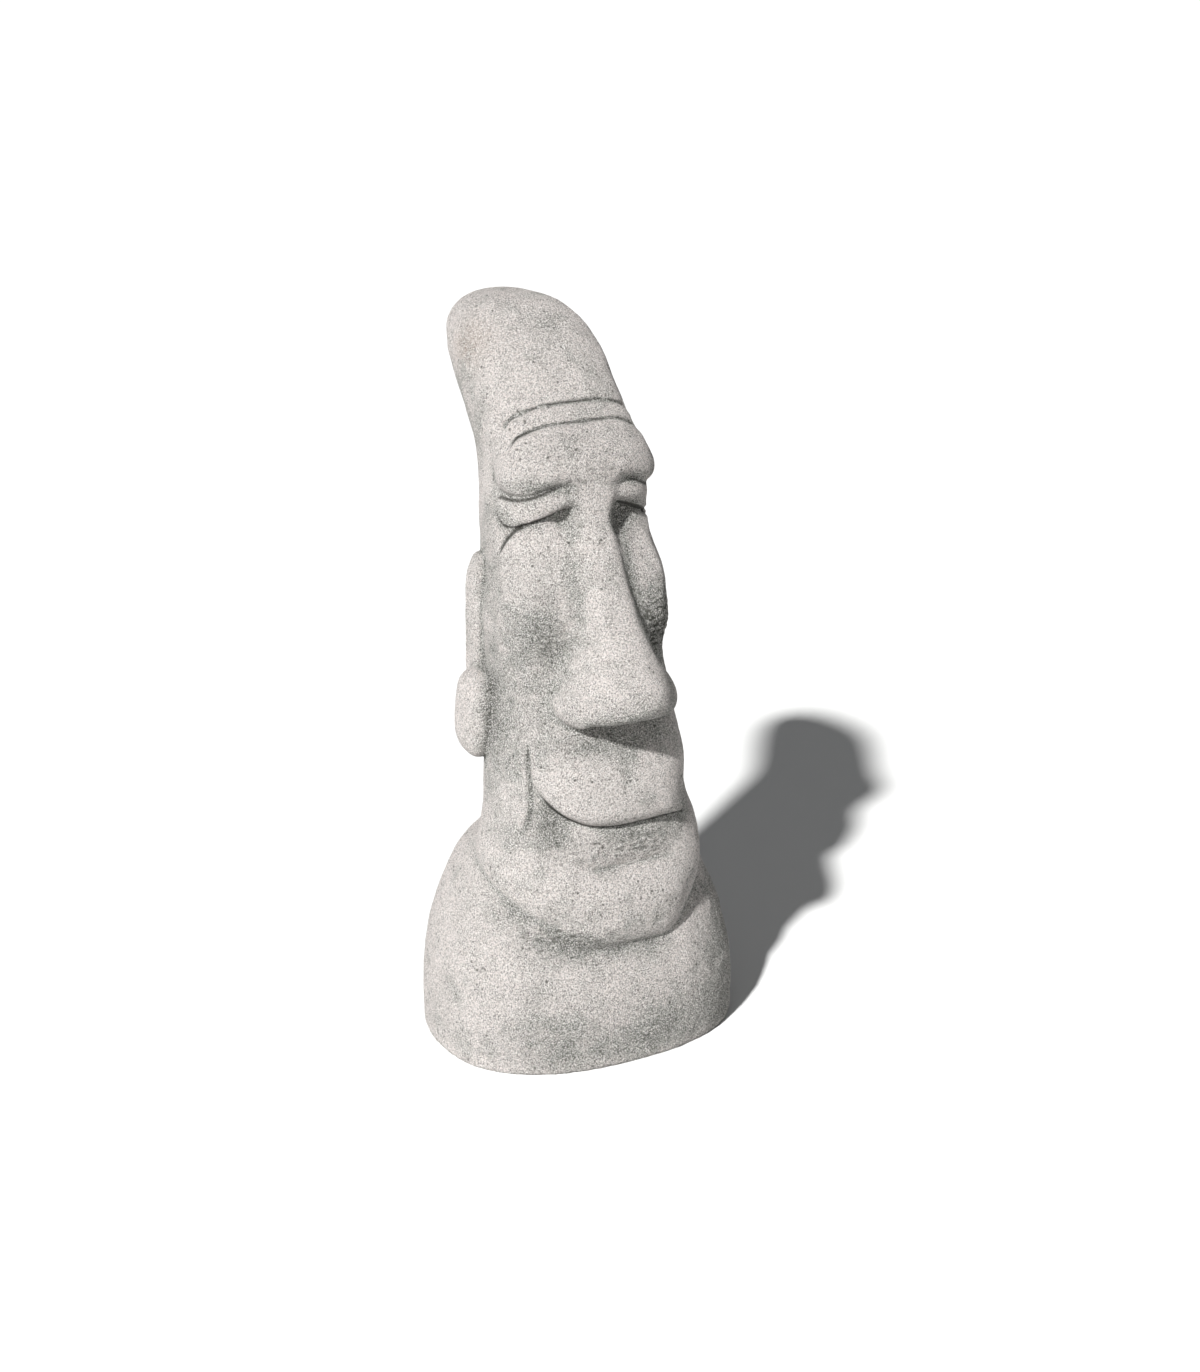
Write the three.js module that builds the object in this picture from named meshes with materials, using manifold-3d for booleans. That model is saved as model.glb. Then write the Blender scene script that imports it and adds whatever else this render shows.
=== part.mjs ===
// A moai: a long stone head that leans back, on a bust, cast in one piece.
// Millimetres, Z up, the face toward -Y. The origin is on the ground, in the middle of the bust.
// The stone is the inside of a field that is negative within it and zero on its surface.
// The field has axes of its own: x is the distance from the middle plane, f is the depth, growing
// toward the face, and z is the height. Both halves are alike but for the mouth, whose line turns up
// at its right corner only, so left tells the halves apart: 0 in the right half and 1 in the left.
import * as THREE from 'three';
import { mergeVertices } from 'three/addons/utils/BufferGeometryUtils.js';
import Module from 'manifold-3d';

const { abs, atan2, cos, exp, hypot, max, min, PI, pow, sin, sqrt } = Math;

// Driving sizes of the head and the bust. A scale below 1 makes up for a leaning side, and a pair
// is a value at each end of a change, or the two places between which it happens.
const CROWN = { from: 800, top: 893, roundness: 2.6 };
const HEAD = { frontSquareness: 2.5, backSquareness: 2, leans: [700, 780], scale: [1, 0.78] };
const HEAD_SECTIONS = [
  // z, f of the widest place, half width, reach to the front, reach to the back
  [60, 10, 140, 100, 120],
  [180, 18, 138, 100, 125],
  [262, 20, 132, 98, 122],
  [325, 14, 122, 93, 120],
  [400, 4, 115, 88, 121],
  [480, -6, 108, 78, 126],
  [565, -15, 103, 72, 128],
  [640, -23, 98, 68, 129],
  [690, -30, 94, 70, 129],
  [735, -44, 92, 73, 134],
  [770, -69, 90, 73, 138],
  [800, -94, 88, 73, 137],
  [830, -118, 87, 74, 137],
  [860, -140, 85, 72, 134],
  [890, -158, 81, 69, 126],
];
const JAW_LINE = { front: 128, height: 150, rise: 0.62, scale: 0.85, rounding: 50 };
const BUST = { frontSquareness: [2.4, 2.12], changes: [50, 150], backSquareness: 2.3, scale: 0.85 };
const BUST_TOP = { height: 360, rounding: 60 };
const BUST_SECTIONS = [
  // z, half width, reach to the front, reach to the back
  [0, 194, 150, 160],
  [60, 195, 151, 162],
  [110, 191, 147, 162],
  [150, 182, 136, 160],
  [190, 165, 116, 154],
  [225, 146, 96, 142],
  [255, 119, 74, 121],
  [285, 90, 50, 96],
  [320, 64, 30, 70],
  [380, 50, 10, 60],
];

// Driving sizes of the brow, the cheeks and the nose
const BROW = { low: [698, 685], lowChanges: [44, 82], high: 768, swell: 17, overhang: 26, join: 8 };
const BROW_TOP = { droop: 26, halfWidth: 92, power: 2.4, below: 34, above: 16 };
const BROW_SIDE = { back: -44, front: 14, from: 639, to: 808 };
const CHEEK = { centre: [54, -4, 578], half: [48, 58, 84], squareness: 4, yaw: -12, pitch: 20 };
const CHEEKBONE = { reach: 78, height: 634, out: 0.89, up: 0.455, rounding: 7 };
const CHEEK_FLANK = { reach: 108, height: 590, lean: 0.07, rounding: 10 };
const NOSE = { root: [66, 22], rootRises: [460, 640], back: 50, scale: 0.85, top: 705, rounding: 30 };
const NOSE_SECTIONS = [
  // z, half width, reach to the front, squareness
  [400, 75, 104, 1.9],
  [430, 76, 110, 1.9],
  [452, 74, 110, 1.85],
  [476, 66, 102, 1.85],
  [502, 55, 84, 1.95],
  [532, 44, 66, 2.2],
  [565, 38, 54, 2.5],
  [600, 34, 46, 2.8],
  [640, 31, 37, 2.8],
  [670, 30, 33, 2.7],
  [700, 36, 34, 2.4],
];
const NOSE_UNDERSIDE = { height: [419, 437], halfWidth: 60, rounding: 36 };
const NOSE_WING = { centre: [50, 92, 440], radii: [26, 32, 32], join: 16 };

// Driving sizes of the eyelid, the mouth, the jaw and the ear
const EYELID = [
  // x, f, z, radius
  [26, 32, 687, 11],
  [42, 27, 684, 16],
  [60, 16, 678, 19],
  [76, -2, 672, 16.5],
  [86, -14, 669, 13],
];
const LIP = {
  halfWidth: 106, reach: [101, 82], recedes: [352, 424], back: 60, seat: 26, squareness: 2.8, scale: 0.95,
};
const LIP_TOP = { height: [430, 424], rounding: [24, 90], changes: [70, 105] };
const PHILTRUM = { depth: 2.5, halfWidth: 11, top: [410, 385], bottom: [335, 365] };
const MOUTH = { height: 297, rounding: [24, 10], changes: [40, 95] };
const MOUTH_BOW = { at: 60, rise: [9, -1], power: 2 };
const MOUTH_CORNER = { at: 92, rise: [16, -6], power: 6 };
const MOUTH_END = { drop: 90, changes: [58, 28] };
const EYE_HOLLOW = { centre: [37, 52, 656], radii: [17, 17, 19], rounding: 14 };
const MOUTH_HOLLOW = { centre: [87, 102, 303], radii: [18, 18, 20], yaw: -30, left: 40, rounding: 22 };
const LOWER_LIP = { centre: [0, 34, 276], half: [78, 77, 32], squareness: 2.6, join: 18 };
const CHIN = { centre: [0, 68, 190], half: [88, 78, 58], squareness: 2.9 };
const JOWL = { centre: [86, 16, 243], radii: [54, 64, 64], yaw: -10, join: 50 };
const CHIN_SIDE = { centre: [72, 56, 215], radii: [44, 50, 44], join: 44 };
const EAR_BLADE = { centre: [87.5, -66, 492], half: [24, 20, 112], squareness: 4, pitch: -2 };
const EAR_LOBE = { centre: [115, -42, 411], half: [22, 34, 55], squareness: 2.8, pitch: -6, join: 12 };

// The incised lines, drawn on the head unrolled: distance around it from the middle, then height
const WRINKLE = { depth: 4.4, width: 2.4, lip: 1.6, fade: 18, start: 0.12, end: 0 };
const INCISED_LINES = [
  { points: [[92, 757], [80, 768], [66, 775], [42, 782], [20, 784], [0, 784]], ...WRINKLE },
  { points: [[90, 737], [79, 749], [66, 756], [44, 763], [20, 765], [0, 765]], ...WRINKLE },
  {
    points: [[126, 664], [122, 655], [114, 650], [104, 648], [90, 650], [72, 657], [50, 666], [30, 673]],
    depth: 3.5, width: 2.6, lip: 0, fade: 0, start: 0.1, end: 0.1,
  },
  {
    points: [[96, 648], [72, 657], [50, 666], [28, 674]],
    depth: 0, width: 3, lip: -9, fade: 52, start: 0.4, end: 0.3,
  },
  {
    points: [[82, 652], [96, 644], [110, 628], [120, 605]],
    depth: 4.5, width: 3, lip: 0, fade: 0, start: 0.1, end: 0.3,
  },
  {
    points: [[86, 402], [87, 372], [87, 345], [88, 322], [93, 300], [101, 284]],
    depth: 4, width: 2.4, lip: 3, fade: 26, start: 0.15, end: 0.3, rightOnly: true,
  },
  {
    points: [[62, 242], [40, 246], [20, 247], [0, 247]],
    depth: 3, width: 6, lip: 0, fade: 0, start: 0.5, end: 0,
  },
];
const LIP_EDGE = { from: -0.6, to: 0.9, narrowing: 1.6 };
const UNROLLED = { scale: 100, behind: 30 };

// How widely each feature blends into the rest
const JOINS = {
  cheek: [36, 6], cheekChanges: [520, 600], lip: [1, 28], lipChanges: [320, 384], lipEdge: 3,
  nose: [5, 14], noseChanges: [430, 475], eyelid: 6, eyelidPath: 1.5, lowerFace: 20, ear: 4,
  bust: [3, 24], bustChanges: [-5, -75],
};

// The width of the middle strip that both halves share, the rounded lower edge, and the fineness
// of the faceted surface
const MIDDLE_STRIP = 40;
const FOOT_ROUNDING = 10;
const CELL = 5;
const TRIANGLES = 9500;
const FAR = 60;
const LINE_STEPS = 6;
const LID_STEPS = 8;

// How edges close: the share that closes in a round, the price of a long edge, how singular a corner
// may be, and how far a triangle may turn, as a cosine
const CLOSING = { share: 0.06, lengthPrice: 3e-4, singular: 1e-3, leastCosine: 0.35 };

const clamp = (t, low = 0, high = 1) => min(high, max(low, t));
const mix = (a, b, t) => a + (b - a) * t;

function smoothstep(from, to, t) {
  const s = clamp((t - from) / (to - from));
  return s * s * (3 - 2 * s);
}

// Union of two fields whose meeting is rounded over a width k
function softUnion(a, b, k) {
  const h = max(k - abs(a - b), 0) / k;
  return min(a, b) - h * h * k * 0.25;
}

const softCut = (a, b, k) => -softUnion(-a, -b, k);

// Smooth curve through the points [z, value], level beyond both ends
function curveThrough(points) {
  const last = points.length - 1;
  const slope = (a, b) => (points[b][1] - points[a][1]) / (points[b][0] - points[a][0]);
  return (z) => {
    if (z <= points[0][0]) return points[0][1];
    if (z >= points[last][0]) return points[last][1];
    let i = 0;
    while (z > points[i + 1][0]) i++;
    const step = points[i + 1][0] - points[i][0];
    const t = (z - points[i][0]) / step;
    const rise = slope(max(0, i - 1), i + 1) * step * t * (1 - t) * (1 - t);
    const fall = slope(i, min(last, i + 2)) * step * t * t * (1 - t);
    return mix(points[i][1], points[i + 1][1], t * t * (3 - 2 * t)) + rise - fall;
  };
}

// Smooth path through points of any number of coordinates, as short straight steps
function smoothPath(points, steps) {
  const at = (i) => points[clamp(i, 0, points.length - 1)];
  const path = [];
  for (let i = 0; i < points.length - 1; i++) {
    for (let k = 0; k < steps; k++) {
      const t = k / steps;
      path.push(points[i].map((b, axis) => {
        const [a, c, d] = [at(i - 1)[axis], at(i + 1)[axis], at(i + 2)[axis]];
        const even = (2 * a - 5 * b + 4 * c - d) * t * t;
        return 0.5 * (2 * b + (c - a) * t + even + (3 * b - a - 3 * c + d) * t * t * t);
      }));
    }
  }
  return [...path, points[points.length - 1]];
}

const column = (table, index) => curveThrough(table.map((row) => [row[0], row[index]]));
const headMiddle = column(HEAD_SECTIONS, 1);
const headHalf = column(HEAD_SECTIONS, 2);
const headFront = column(HEAD_SECTIONS, 3);
const headBack = column(HEAD_SECTIONS, 4);
const bustHalf = column(BUST_SECTIONS, 1);
const bustFront = column(BUST_SECTIONS, 2);
const bustBack = column(BUST_SECTIONS, 3);
const noseHalf = column(NOSE_SECTIONS, 1);
const noseFront = column(NOSE_SECTIONS, 2);
const noseSquareness = column(NOSE_SECTIONS, 3);

// Superellipse measure: 1 on the outline, and the length that turns it into millimetres
function outline(x, f, half, reach, squareness) {
  const r = hypot(x, f);
  const mean = sqrt(half * reach);
  const rho = pow(pow(abs(x) / half, squareness) + pow(abs(f) / reach, squareness), 1 / squareness);
  const length = r < 0.001 ? mean : mix(mean, r / rho, smoothstep(0.15, 0.75, rho));
  return { rho, length };
}

function section(x, f, half, reach, squareness) {
  const { rho, length } = outline(x, f, half, reach, squareness);
  return (rho - 1) * length;
}

// Coordinates about a centre, turned by yaw about z, then by pitch about x, in degrees
function turned(x, f, z, centre, yaw, pitch) {
  const [dx, df, dz] = [x - centre[0], f - centre[1], z - centre[2]];
  const [cy, sy] = [cos((yaw * PI) / 180), sin((yaw * PI) / 180)];
  const [cp, sp] = [cos((pitch * PI) / 180), sin((pitch * PI) / 180)];
  const forward = cy * df - sy * dx;
  return [cy * dx + sy * df, cp * forward + sp * dz, cp * dz - sp * forward];
}

function ellipsoid(x, f, z, { centre, radii, yaw = 0, pitch = 0 }) {
  const p = turned(x, f, z, centre, yaw, pitch);
  const near = hypot(p[0] / radii[0], p[1] / radii[1], p[2] / radii[2]);
  const slope = hypot(p[0] / radii[0] ** 2, p[1] / radii[1] ** 2, p[2] / radii[2] ** 2);
  return slope < 1e-6 ? -min(...radii) : (near * (near - 1)) / slope;
}

function softBox(x, f, z, { centre, half, squareness, yaw = 0, pitch = 0 }) {
  const p = turned(x, f, z, centre, yaw, pitch);
  const sum = p.reduce((total, value, axis) => total + pow(abs(value) / half[axis], squareness), 0);
  const rho = pow(sum, 1 / squareness);
  const length = hypot(...p);
  return rho < 1e-6 ? -min(...half) : length - length / rho;
}

// Round bead from a to b, each [x, f, z, radius]
function bead(x, f, z, a, b) {
  const axis = [b[0] - a[0], b[1] - a[1], b[2] - a[2]];
  const from = [x - a[0], f - a[1], z - a[2]];
  const dot = from[0] * axis[0] + from[1] * axis[1] + from[2] * axis[2];
  const t = clamp(dot / (axis[0] ** 2 + axis[1] ** 2 + axis[2] ** 2));
  const gap = hypot(from[0] - axis[0] * t, from[1] - axis[1] * t, from[2] - axis[2] * t);
  return gap - mix(a[3], b[3], t);
}

// The head without its features: leaning sections, a domed crown and a slanted jaw line
function plainHead(x, f, z) {
  const depth = f - headMiddle(z);
  const reach = depth > 0 ? headFront(z) : headBack(z);
  const squareness = depth > 0 ? HEAD.frontSquareness : HEAD.backSquareness;
  const { rho, length } = outline(x, depth, headHalf(z), reach, squareness);
  const rise = max(0, (z - CROWN.from) / (CROWN.top - CROWN.from));
  const domed = pow(pow(rho, CROWN.roundness) + pow(rise, CROWN.roundness), 1 / CROWN.roundness);
  const scale = mix(...HEAD.scale, smoothstep(...HEAD.leans, z));
  const jawLine = JAW_LINE.height + JAW_LINE.rise * (JAW_LINE.front - f);
  return softCut((domed - 1) * length * scale, (jawLine - z) * JAW_LINE.scale, JAW_LINE.rounding);
}

// The bust: a bell that narrows into the neck
function bust(x, f, z) {
  const front = mix(...BUST.frontSquareness, smoothstep(...BUST.changes, z));
  const reach = f > 0 ? bustFront(z) : bustBack(z);
  const side = section(x, f, bustHalf(z), reach, f > 0 ? front : BUST.backSquareness);
  return softCut(side * BUST.scale, z - BUST_TOP.height, BUST_TOP.rounding);
}

// The forehead swells out of the head and ends below in an overhanging brow
function withBrow(head, x, f, z) {
  if (z < BROW_SIDE.from || z > BROW_SIDE.to) return head;
  const top = BROW.high - BROW_TOP.droop * pow(x / BROW_TOP.halfWidth, BROW_TOP.power);
  const low = mix(...BROW.low, smoothstep(...BROW.lowChanges, x));
  const below = 1 - smoothstep(top - BROW_TOP.below, top + BROW_TOP.above, z);
  const share = below * smoothstep(BROW_SIDE.back, BROW_SIDE.front, f);
  const swollen = softCut(head - BROW.swell * share, low - z, BROW.overhang);
  return softUnion(head, swollen, BROW.join * share + 0.001);
}

const LID_PATH = smoothPath(EYELID, LID_STEPS);

function eyelid(x, f, z) {
  if (z < 600 || z > 720) return FAR;
  let d = FAR;
  for (let i = 0; i + 1 < LID_PATH.length; i++) {
    d = softUnion(d, bead(x, f, z, LID_PATH[i], LID_PATH[i + 1]), JOINS.eyelidPath);
  }
  return d;
}

// A flat cheek whose outer corner is cut back above the cheekbone and straight beside it
function cheek(x, f, z) {
  if (z < 380 || z > 720) return FAR;
  const outward = x * cos(PI / 6) + f * sin(PI / 6);
  const plane = CHEEKBONE.out * (outward - CHEEKBONE.reach) + CHEEKBONE.up * (z - CHEEKBONE.height);
  const flank = outward - CHEEK_FLANK.reach + CHEEK_FLANK.lean * (CHEEK_FLANK.height - z);
  const mass = softCut(softBox(x, f, z, CHEEK), plane, CHEEKBONE.rounding);
  return softCut(mass, flank, CHEEK_FLANK.rounding);
}

// A wedge that widens downward into the wings, cut level underneath
function nose(x, f, z) {
  if (z < 380 || z > 760 || f < -20) return FAR;
  const root = mix(...NOSE.root, smoothstep(...NOSE.rootRises, z));
  const reach = f > root ? noseFront(z) : NOSE.back;
  let d = section(x, f - root, noseHalf(z), reach, noseSquareness(z)) * NOSE.scale;
  d = softUnion(d, ellipsoid(x, f, z, NOSE_WING), NOSE_WING.join);
  const lift = max(0, 1 - pow(x / NOSE_UNDERSIDE.halfWidth, 2));
  d = softCut(d, mix(...NOSE_UNDERSIDE.height, lift) - z, NOSE_UNDERSIDE.rounding);
  return softCut(d, z - NOSE.top, NOSE.rounding);
}

// The height of the bowed mouth line, which runs down out of sight at its ends
function mouthLine(x, f, left) {
  const bow = mix(...MOUTH_BOW.rise, left) * pow(x / MOUTH_BOW.at, MOUTH_BOW.power);
  const corner = mix(...MOUTH_CORNER.rise, left) * pow(x / MOUTH_CORNER.at, MOUTH_CORNER.power);
  return MOUTH.height + bow + corner - MOUTH_END.drop * smoothstep(...MOUTH_END.changes, f);
}

// A full upper lip over the mouth line, with a shallow groove below the nose
function upperLip(x, f, z, left) {
  if (z < 260 || z > 460) return FAR;
  const reach = f > LIP.seat ? mix(...LIP.reach, smoothstep(...LIP.recedes, z)) : LIP.back;
  const side = section(x, f - LIP.seat, LIP.halfWidth, reach, LIP.squareness) * LIP.scale;
  const flank = smoothstep(...LIP_TOP.changes, x);
  const groove = smoothstep(...PHILTRUM.top, z) * smoothstep(...PHILTRUM.bottom, z);
  const dip = PHILTRUM.depth * exp(-pow(x / PHILTRUM.halfWidth, 2)) * groove;
  const full = softCut(side, z - mix(...LIP_TOP.height, flank), mix(...LIP_TOP.rounding, flank)) + dip;
  const rounding = mix(...MOUTH.rounding, smoothstep(...MOUTH.changes, x));
  return softCut(full, mouthLine(x, f, left) - z, rounding);
}

function lowerFace(x, f, z) {
  if (z > 420 || z < 60) return FAR;
  let mass = softUnion(softBox(x, f, z, CHIN), ellipsoid(x, f, z, JOWL), JOWL.join);
  mass = softUnion(mass, ellipsoid(x, f, z, CHIN_SIDE), CHIN_SIDE.join);
  return softUnion(softBox(x, f, z, LOWER_LIP), mass, LOWER_LIP.join);
}

function ear(x, f, z) {
  if (z < 330 || z > 640) return FAR;
  return softUnion(softBox(x, f, z, EAR_BLADE), softBox(x, f, z, EAR_LOBE), EAR_LOBE.join);
}

// An incised line with its smooth path and the bounds of the zone that it changes
function readied(line) {
  const path = smoothPath(line.points, LINE_STEPS);
  const reach = max(line.fade * LIP_EDGE.narrowing, 3 * line.width);
  const low = [0, 1].map((axis) => min(...path.map((p) => p[axis])) - reach);
  const high = [0, 1].map((axis) => max(...path.map((p) => p[axis])) + reach);
  return { ...line, path, low, high, reach };
}

const INCISIONS = INCISED_LINES.map(readied);

// The nearest place on a line: its distance, the side it is passed on and its share of the length
function nearestOn({ path, reach }, around, z) {
  const near = { gap: reach, side: 0, share: 0 };
  for (let i = 0; i + 1 < path.length; i++) {
    const [ax, az] = [path[i + 1][0] - path[i][0], path[i + 1][1] - path[i][1]];
    const [px, pz] = [around - path[i][0], z - path[i][1]];
    const t = clamp((px * ax + pz * az) / (ax * ax + az * az));
    const gap = hypot(px - ax * t, pz - az * t);
    if (gap >= near.gap) continue;
    Object.assign(near, { gap, side: ax * pz - az * px, share: (i + t) / (path.length - 1) });
  }
  return near;
}

// How far an incised line raises the surface (a lip along its left side) or lowers it (its groove)
function incised(line, around, z) {
  const { low, high } = line;
  if (around < low[0] || around > high[0] || z < low[1] || z > high[1]) return 0;
  const near = nearestOn(line, around, z);
  if (near.gap >= line.reach) return 0;
  const start = line.start ? smoothstep(0, line.start, near.share) : 1;
  const end = line.end ? smoothstep(1, 1 - line.end, near.share) : 1;
  const groove = line.depth * exp(-pow(near.gap / line.width, 2));
  const side = near.side < 0 ? -near.gap : near.gap;
  const beside = smoothstep(LIP_EDGE.from * line.width, LIP_EDGE.to * line.width, side);
  const spread = line.lip ? exp(-pow((LIP_EDGE.narrowing * near.gap) / line.fade, 2)) : 0;
  return start * end * (line.lip * beside * spread - groove);
}

// The whole statue
function field(x, f, z, left) {
  let d = withBrow(plainHead(x, f, z), x, f, z);
  d = softUnion(d, cheek(x, f, z), mix(...JOINS.cheek, smoothstep(...JOINS.cheekChanges, z)));
  const lip = upperLip(x, f, z, left);
  d = softUnion(d, lip, mix(...JOINS.lip, smoothstep(...JOINS.lipChanges, z)));
  d = softUnion(d, nose(x, f, z), mix(...JOINS.nose, smoothstep(...JOINS.noseChanges, z)));
  d = softCut(d, -ellipsoid(x, f, z, EYE_HOLLOW), EYE_HOLLOW.rounding);
  d = softUnion(d, eyelid(x, f, z), JOINS.eyelid);
  d = softUnion(d, lowerFace(x, f, z), JOINS.lowerFace);
  const hollow = ellipsoid(x, f, z, MOUTH_HOLLOW) + MOUTH_HOLLOW.left * left;
  d = softUnion(softCut(d, -hollow, MOUTH_HOLLOW.rounding), lip, JOINS.lipEdge);
  const around = UNROLLED.scale * atan2(x, f - headMiddle(z) + UNROLLED.behind);
  for (const line of INCISIONS) d -= incised(line, around, z) * (line.rightOnly ? 1 - left : 1);
  d = softUnion(d, ear(x, f, z), JOINS.ear);
  d = softUnion(d, bust(x, f, z), mix(...JOINS.bust, smoothstep(...JOINS.bustChanges, f)));
  return softCut(d, -z - FOOT_ROUNDING / 4, FOOT_ROUNDING);
}

// The field's values on a grid
function sampled(size, low) {
  const [nx, ny, nz] = size;
  const values = new Float32Array(nx * ny * nz);
  for (let k = 0; k < nz; k++) {
    for (let j = 0; j < ny; j++) {
      for (let i = 0; i < nx; i++) {
        const x = low[0] + i * CELL;
        const left = smoothstep(-MIDDLE_STRIP, MIDDLE_STRIP, x);
        values[i + nx * (j + ny * k)] = field(abs(x), -(low[1] + j * CELL), low[2] + k * CELL, left);
      }
    }
  }
  return values;
}

// Where a grid face has its inside corners across from each other, the surface would touch itself
// along an edge, so the outside corner nearest to the surface becomes an inside one
function filled(values, stride) {
  for (let changes = true; changes;) {
    changes = false;
    for (let at = 0; at + stride[1] + stride[2] < values.length; at++) {
      for (let axis = 0; axis < 3; axis++) {
        const [u, v] = [stride[axis], stride[(axis + 1) % 3]];
        const inside = values[at] < 0;
        if (inside !== values[at + u + v] < 0 || inside === values[at + u] < 0) continue;
        if (inside === values[at + v] < 0) continue;
        const [a, b] = inside ? [at + u, at + v] : [at, at + u + v];
        values[values[a] < values[b] ? a : b] = -0.01 * CELL;
        changes = true;
      }
    }
  }
  return values;
}

// The zero surface as points and triangles: one point in each cell that the surface crosses
function meshed(low, high) {
  const size = low.map((value, axis) => Math.round((high[axis] - value) / CELL) + 1);
  const stride = [1, size[0], size[0] * size[1]];
  const values = filled(sampled(size, low), stride);
  const index = (i, j, k) => i + j * stride[1] + k * stride[2];
  const pointOf = new Int32Array(values.length).fill(-1);
  const points = [];
  const corners = [0, 1, 2, 3, 4, 5, 6, 7].map((n) => [n & 1, (n >> 1) & 1, n >> 2]);
  const edges = [];
  for (let a = 0; a < 8; a++) {
    for (const bit of [1, 2, 4]) if (!(a & bit)) edges.push([a, a | bit]);
  }
  for (let k = 0; k < size[2] - 1; k++) {
    for (let j = 0; j < size[1] - 1; j++) {
      for (let i = 0; i < size[0] - 1; i++) {
        const here = corners.map(([di, dj, dk]) => values[index(i + di, j + dj, k + dk)]);
        const crossed = edges.filter(([a, b]) => here[a] < 0 !== here[b] < 0);
        if (crossed.length === 0) continue;
        const sum = [0, 0, 0];
        for (const [a, b] of crossed) {
          const t = here[a] / (here[a] - here[b]);
          for (let axis = 0; axis < 3; axis++) sum[axis] += mix(corners[a][axis], corners[b][axis], t);
        }
        pointOf[index(i, j, k)] = points.length;
        points.push([i, j, k].map((n, axis) => low[axis] + (n + sum[axis] / crossed.length) * CELL));
      }
    }
  }
  return { points, faces: quadsAcross(values, size, stride, pointOf) };
}

// Two triangles around each grid edge that the surface crosses
function quadsAcross(values, size, stride, pointOf) {
  const faces = [];
  for (let k = 1; k < size[2] - 1; k++) {
    for (let j = 1; j < size[1] - 1; j++) {
      for (let i = 1; i < size[0] - 1; i++) {
        const at = i + j * stride[1] + k * stride[2];
        for (let axis = 0; axis < 3; axis++) {
          const inside = values[at] < 0;
          if (inside === values[at + stride[axis]] < 0) continue;
          const [u, v] = [stride[(axis + 1) % 3], stride[(axis + 2) % 3]];
          const ring = [at - u - v, at - v, at, at - u].map((cell) => pointOf[cell]);
          if (!inside) ring.reverse();
          faces.push([ring[0], ring[1], ring[2]], [ring[0], ring[2], ring[3]]);
        }
      }
    }
  }
  return faces;
}

// Adds the squared distance to a triangle's plane, weighted by its area, to its three corners
function addPlane(quadrics, points, [a, b, c]) {
  const normal = cross(points, a, b, c);
  const area = hypot(...normal);
  if (area < 1e-9) return;
  const [nx, ny, nz] = normal.map((value) => value / area);
  const d = -(nx * points[a][0] + ny * points[a][1] + nz * points[a][2]);
  const terms = [nx * nx, nx * ny, nx * nz, nx * d, ny * ny, ny * nz, ny * d, nz * nz, nz * d, d * d];
  for (const corner of [a, b, c]) terms.forEach((term, n) => (quadrics[corner][n] += term * area));
}

function cross(points, a, b, c) {
  const [p, q, r] = [points[a], points[b], points[c]];
  const [ux, uy, uz] = [q[0] - p[0], q[1] - p[1], q[2] - p[2]];
  const [vx, vy, vz] = [r[0] - p[0], r[1] - p[1], r[2] - p[2]];
  return [uy * vz - uz * vy, uz * vx - ux * vz, ux * vy - uy * vx];
}

function planeError(q, [x, y, z]) {
  const squares = q[0] * x * x + q[4] * y * y + q[7] * z * z + q[9];
  return squares + 2 * (q[1] * x * y + q[2] * x * z + q[3] * x + q[5] * y * z + q[6] * y + q[8] * z);
}

// The place that one point can take for an edge's two ends with the least error
function bestPlace(q, p, r) {
  const middle = p.map((value, axis) => (value + r[axis]) / 2);
  const m = [[q[0], q[1], q[2]], [q[1], q[4], q[5]], [q[2], q[5], q[7]]];
  const minor = (a, b, c, d) => m[a][b] * m[c][d] - m[a][d] * m[c][b];
  const det = m[0][0] * minor(1, 1, 2, 2) - m[0][1] * minor(1, 0, 2, 2) + m[0][2] * minor(1, 0, 2, 1);
  const choices = [middle, p, r];
  if (abs(det) > CLOSING.singular * pow(q[0] + q[4] + q[7], 3)) {
    const solve = new THREE.Matrix3(...m.flat()).invert();
    const place = new THREE.Vector3(-q[3], -q[6], -q[8]).applyMatrix3(solve);
    if (place.distanceTo(new THREE.Vector3(...middle)) < 3 * CELL) choices.unshift(place.toArray());
  }
  return choices.reduce((best, next) => (planeError(q, next) < planeError(q, best) ? next : best));
}

// Fewer triangles on the same form: the edges that matter least close up, a few in each round
function simplified({ points, faces }, wanted) {
  const quadrics = points.map(() => new Float64Array(10));
  for (const face of faces) addPlane(quadrics, points, face);
  let kept = faces;
  while (kept.length > wanted) {
    const before = kept.length;
    kept = closedRound(points, kept, quadrics, (kept.length - wanted) / 2);
    if (kept.length === before) break;
  }
  return { points, faces: kept };
}

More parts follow.
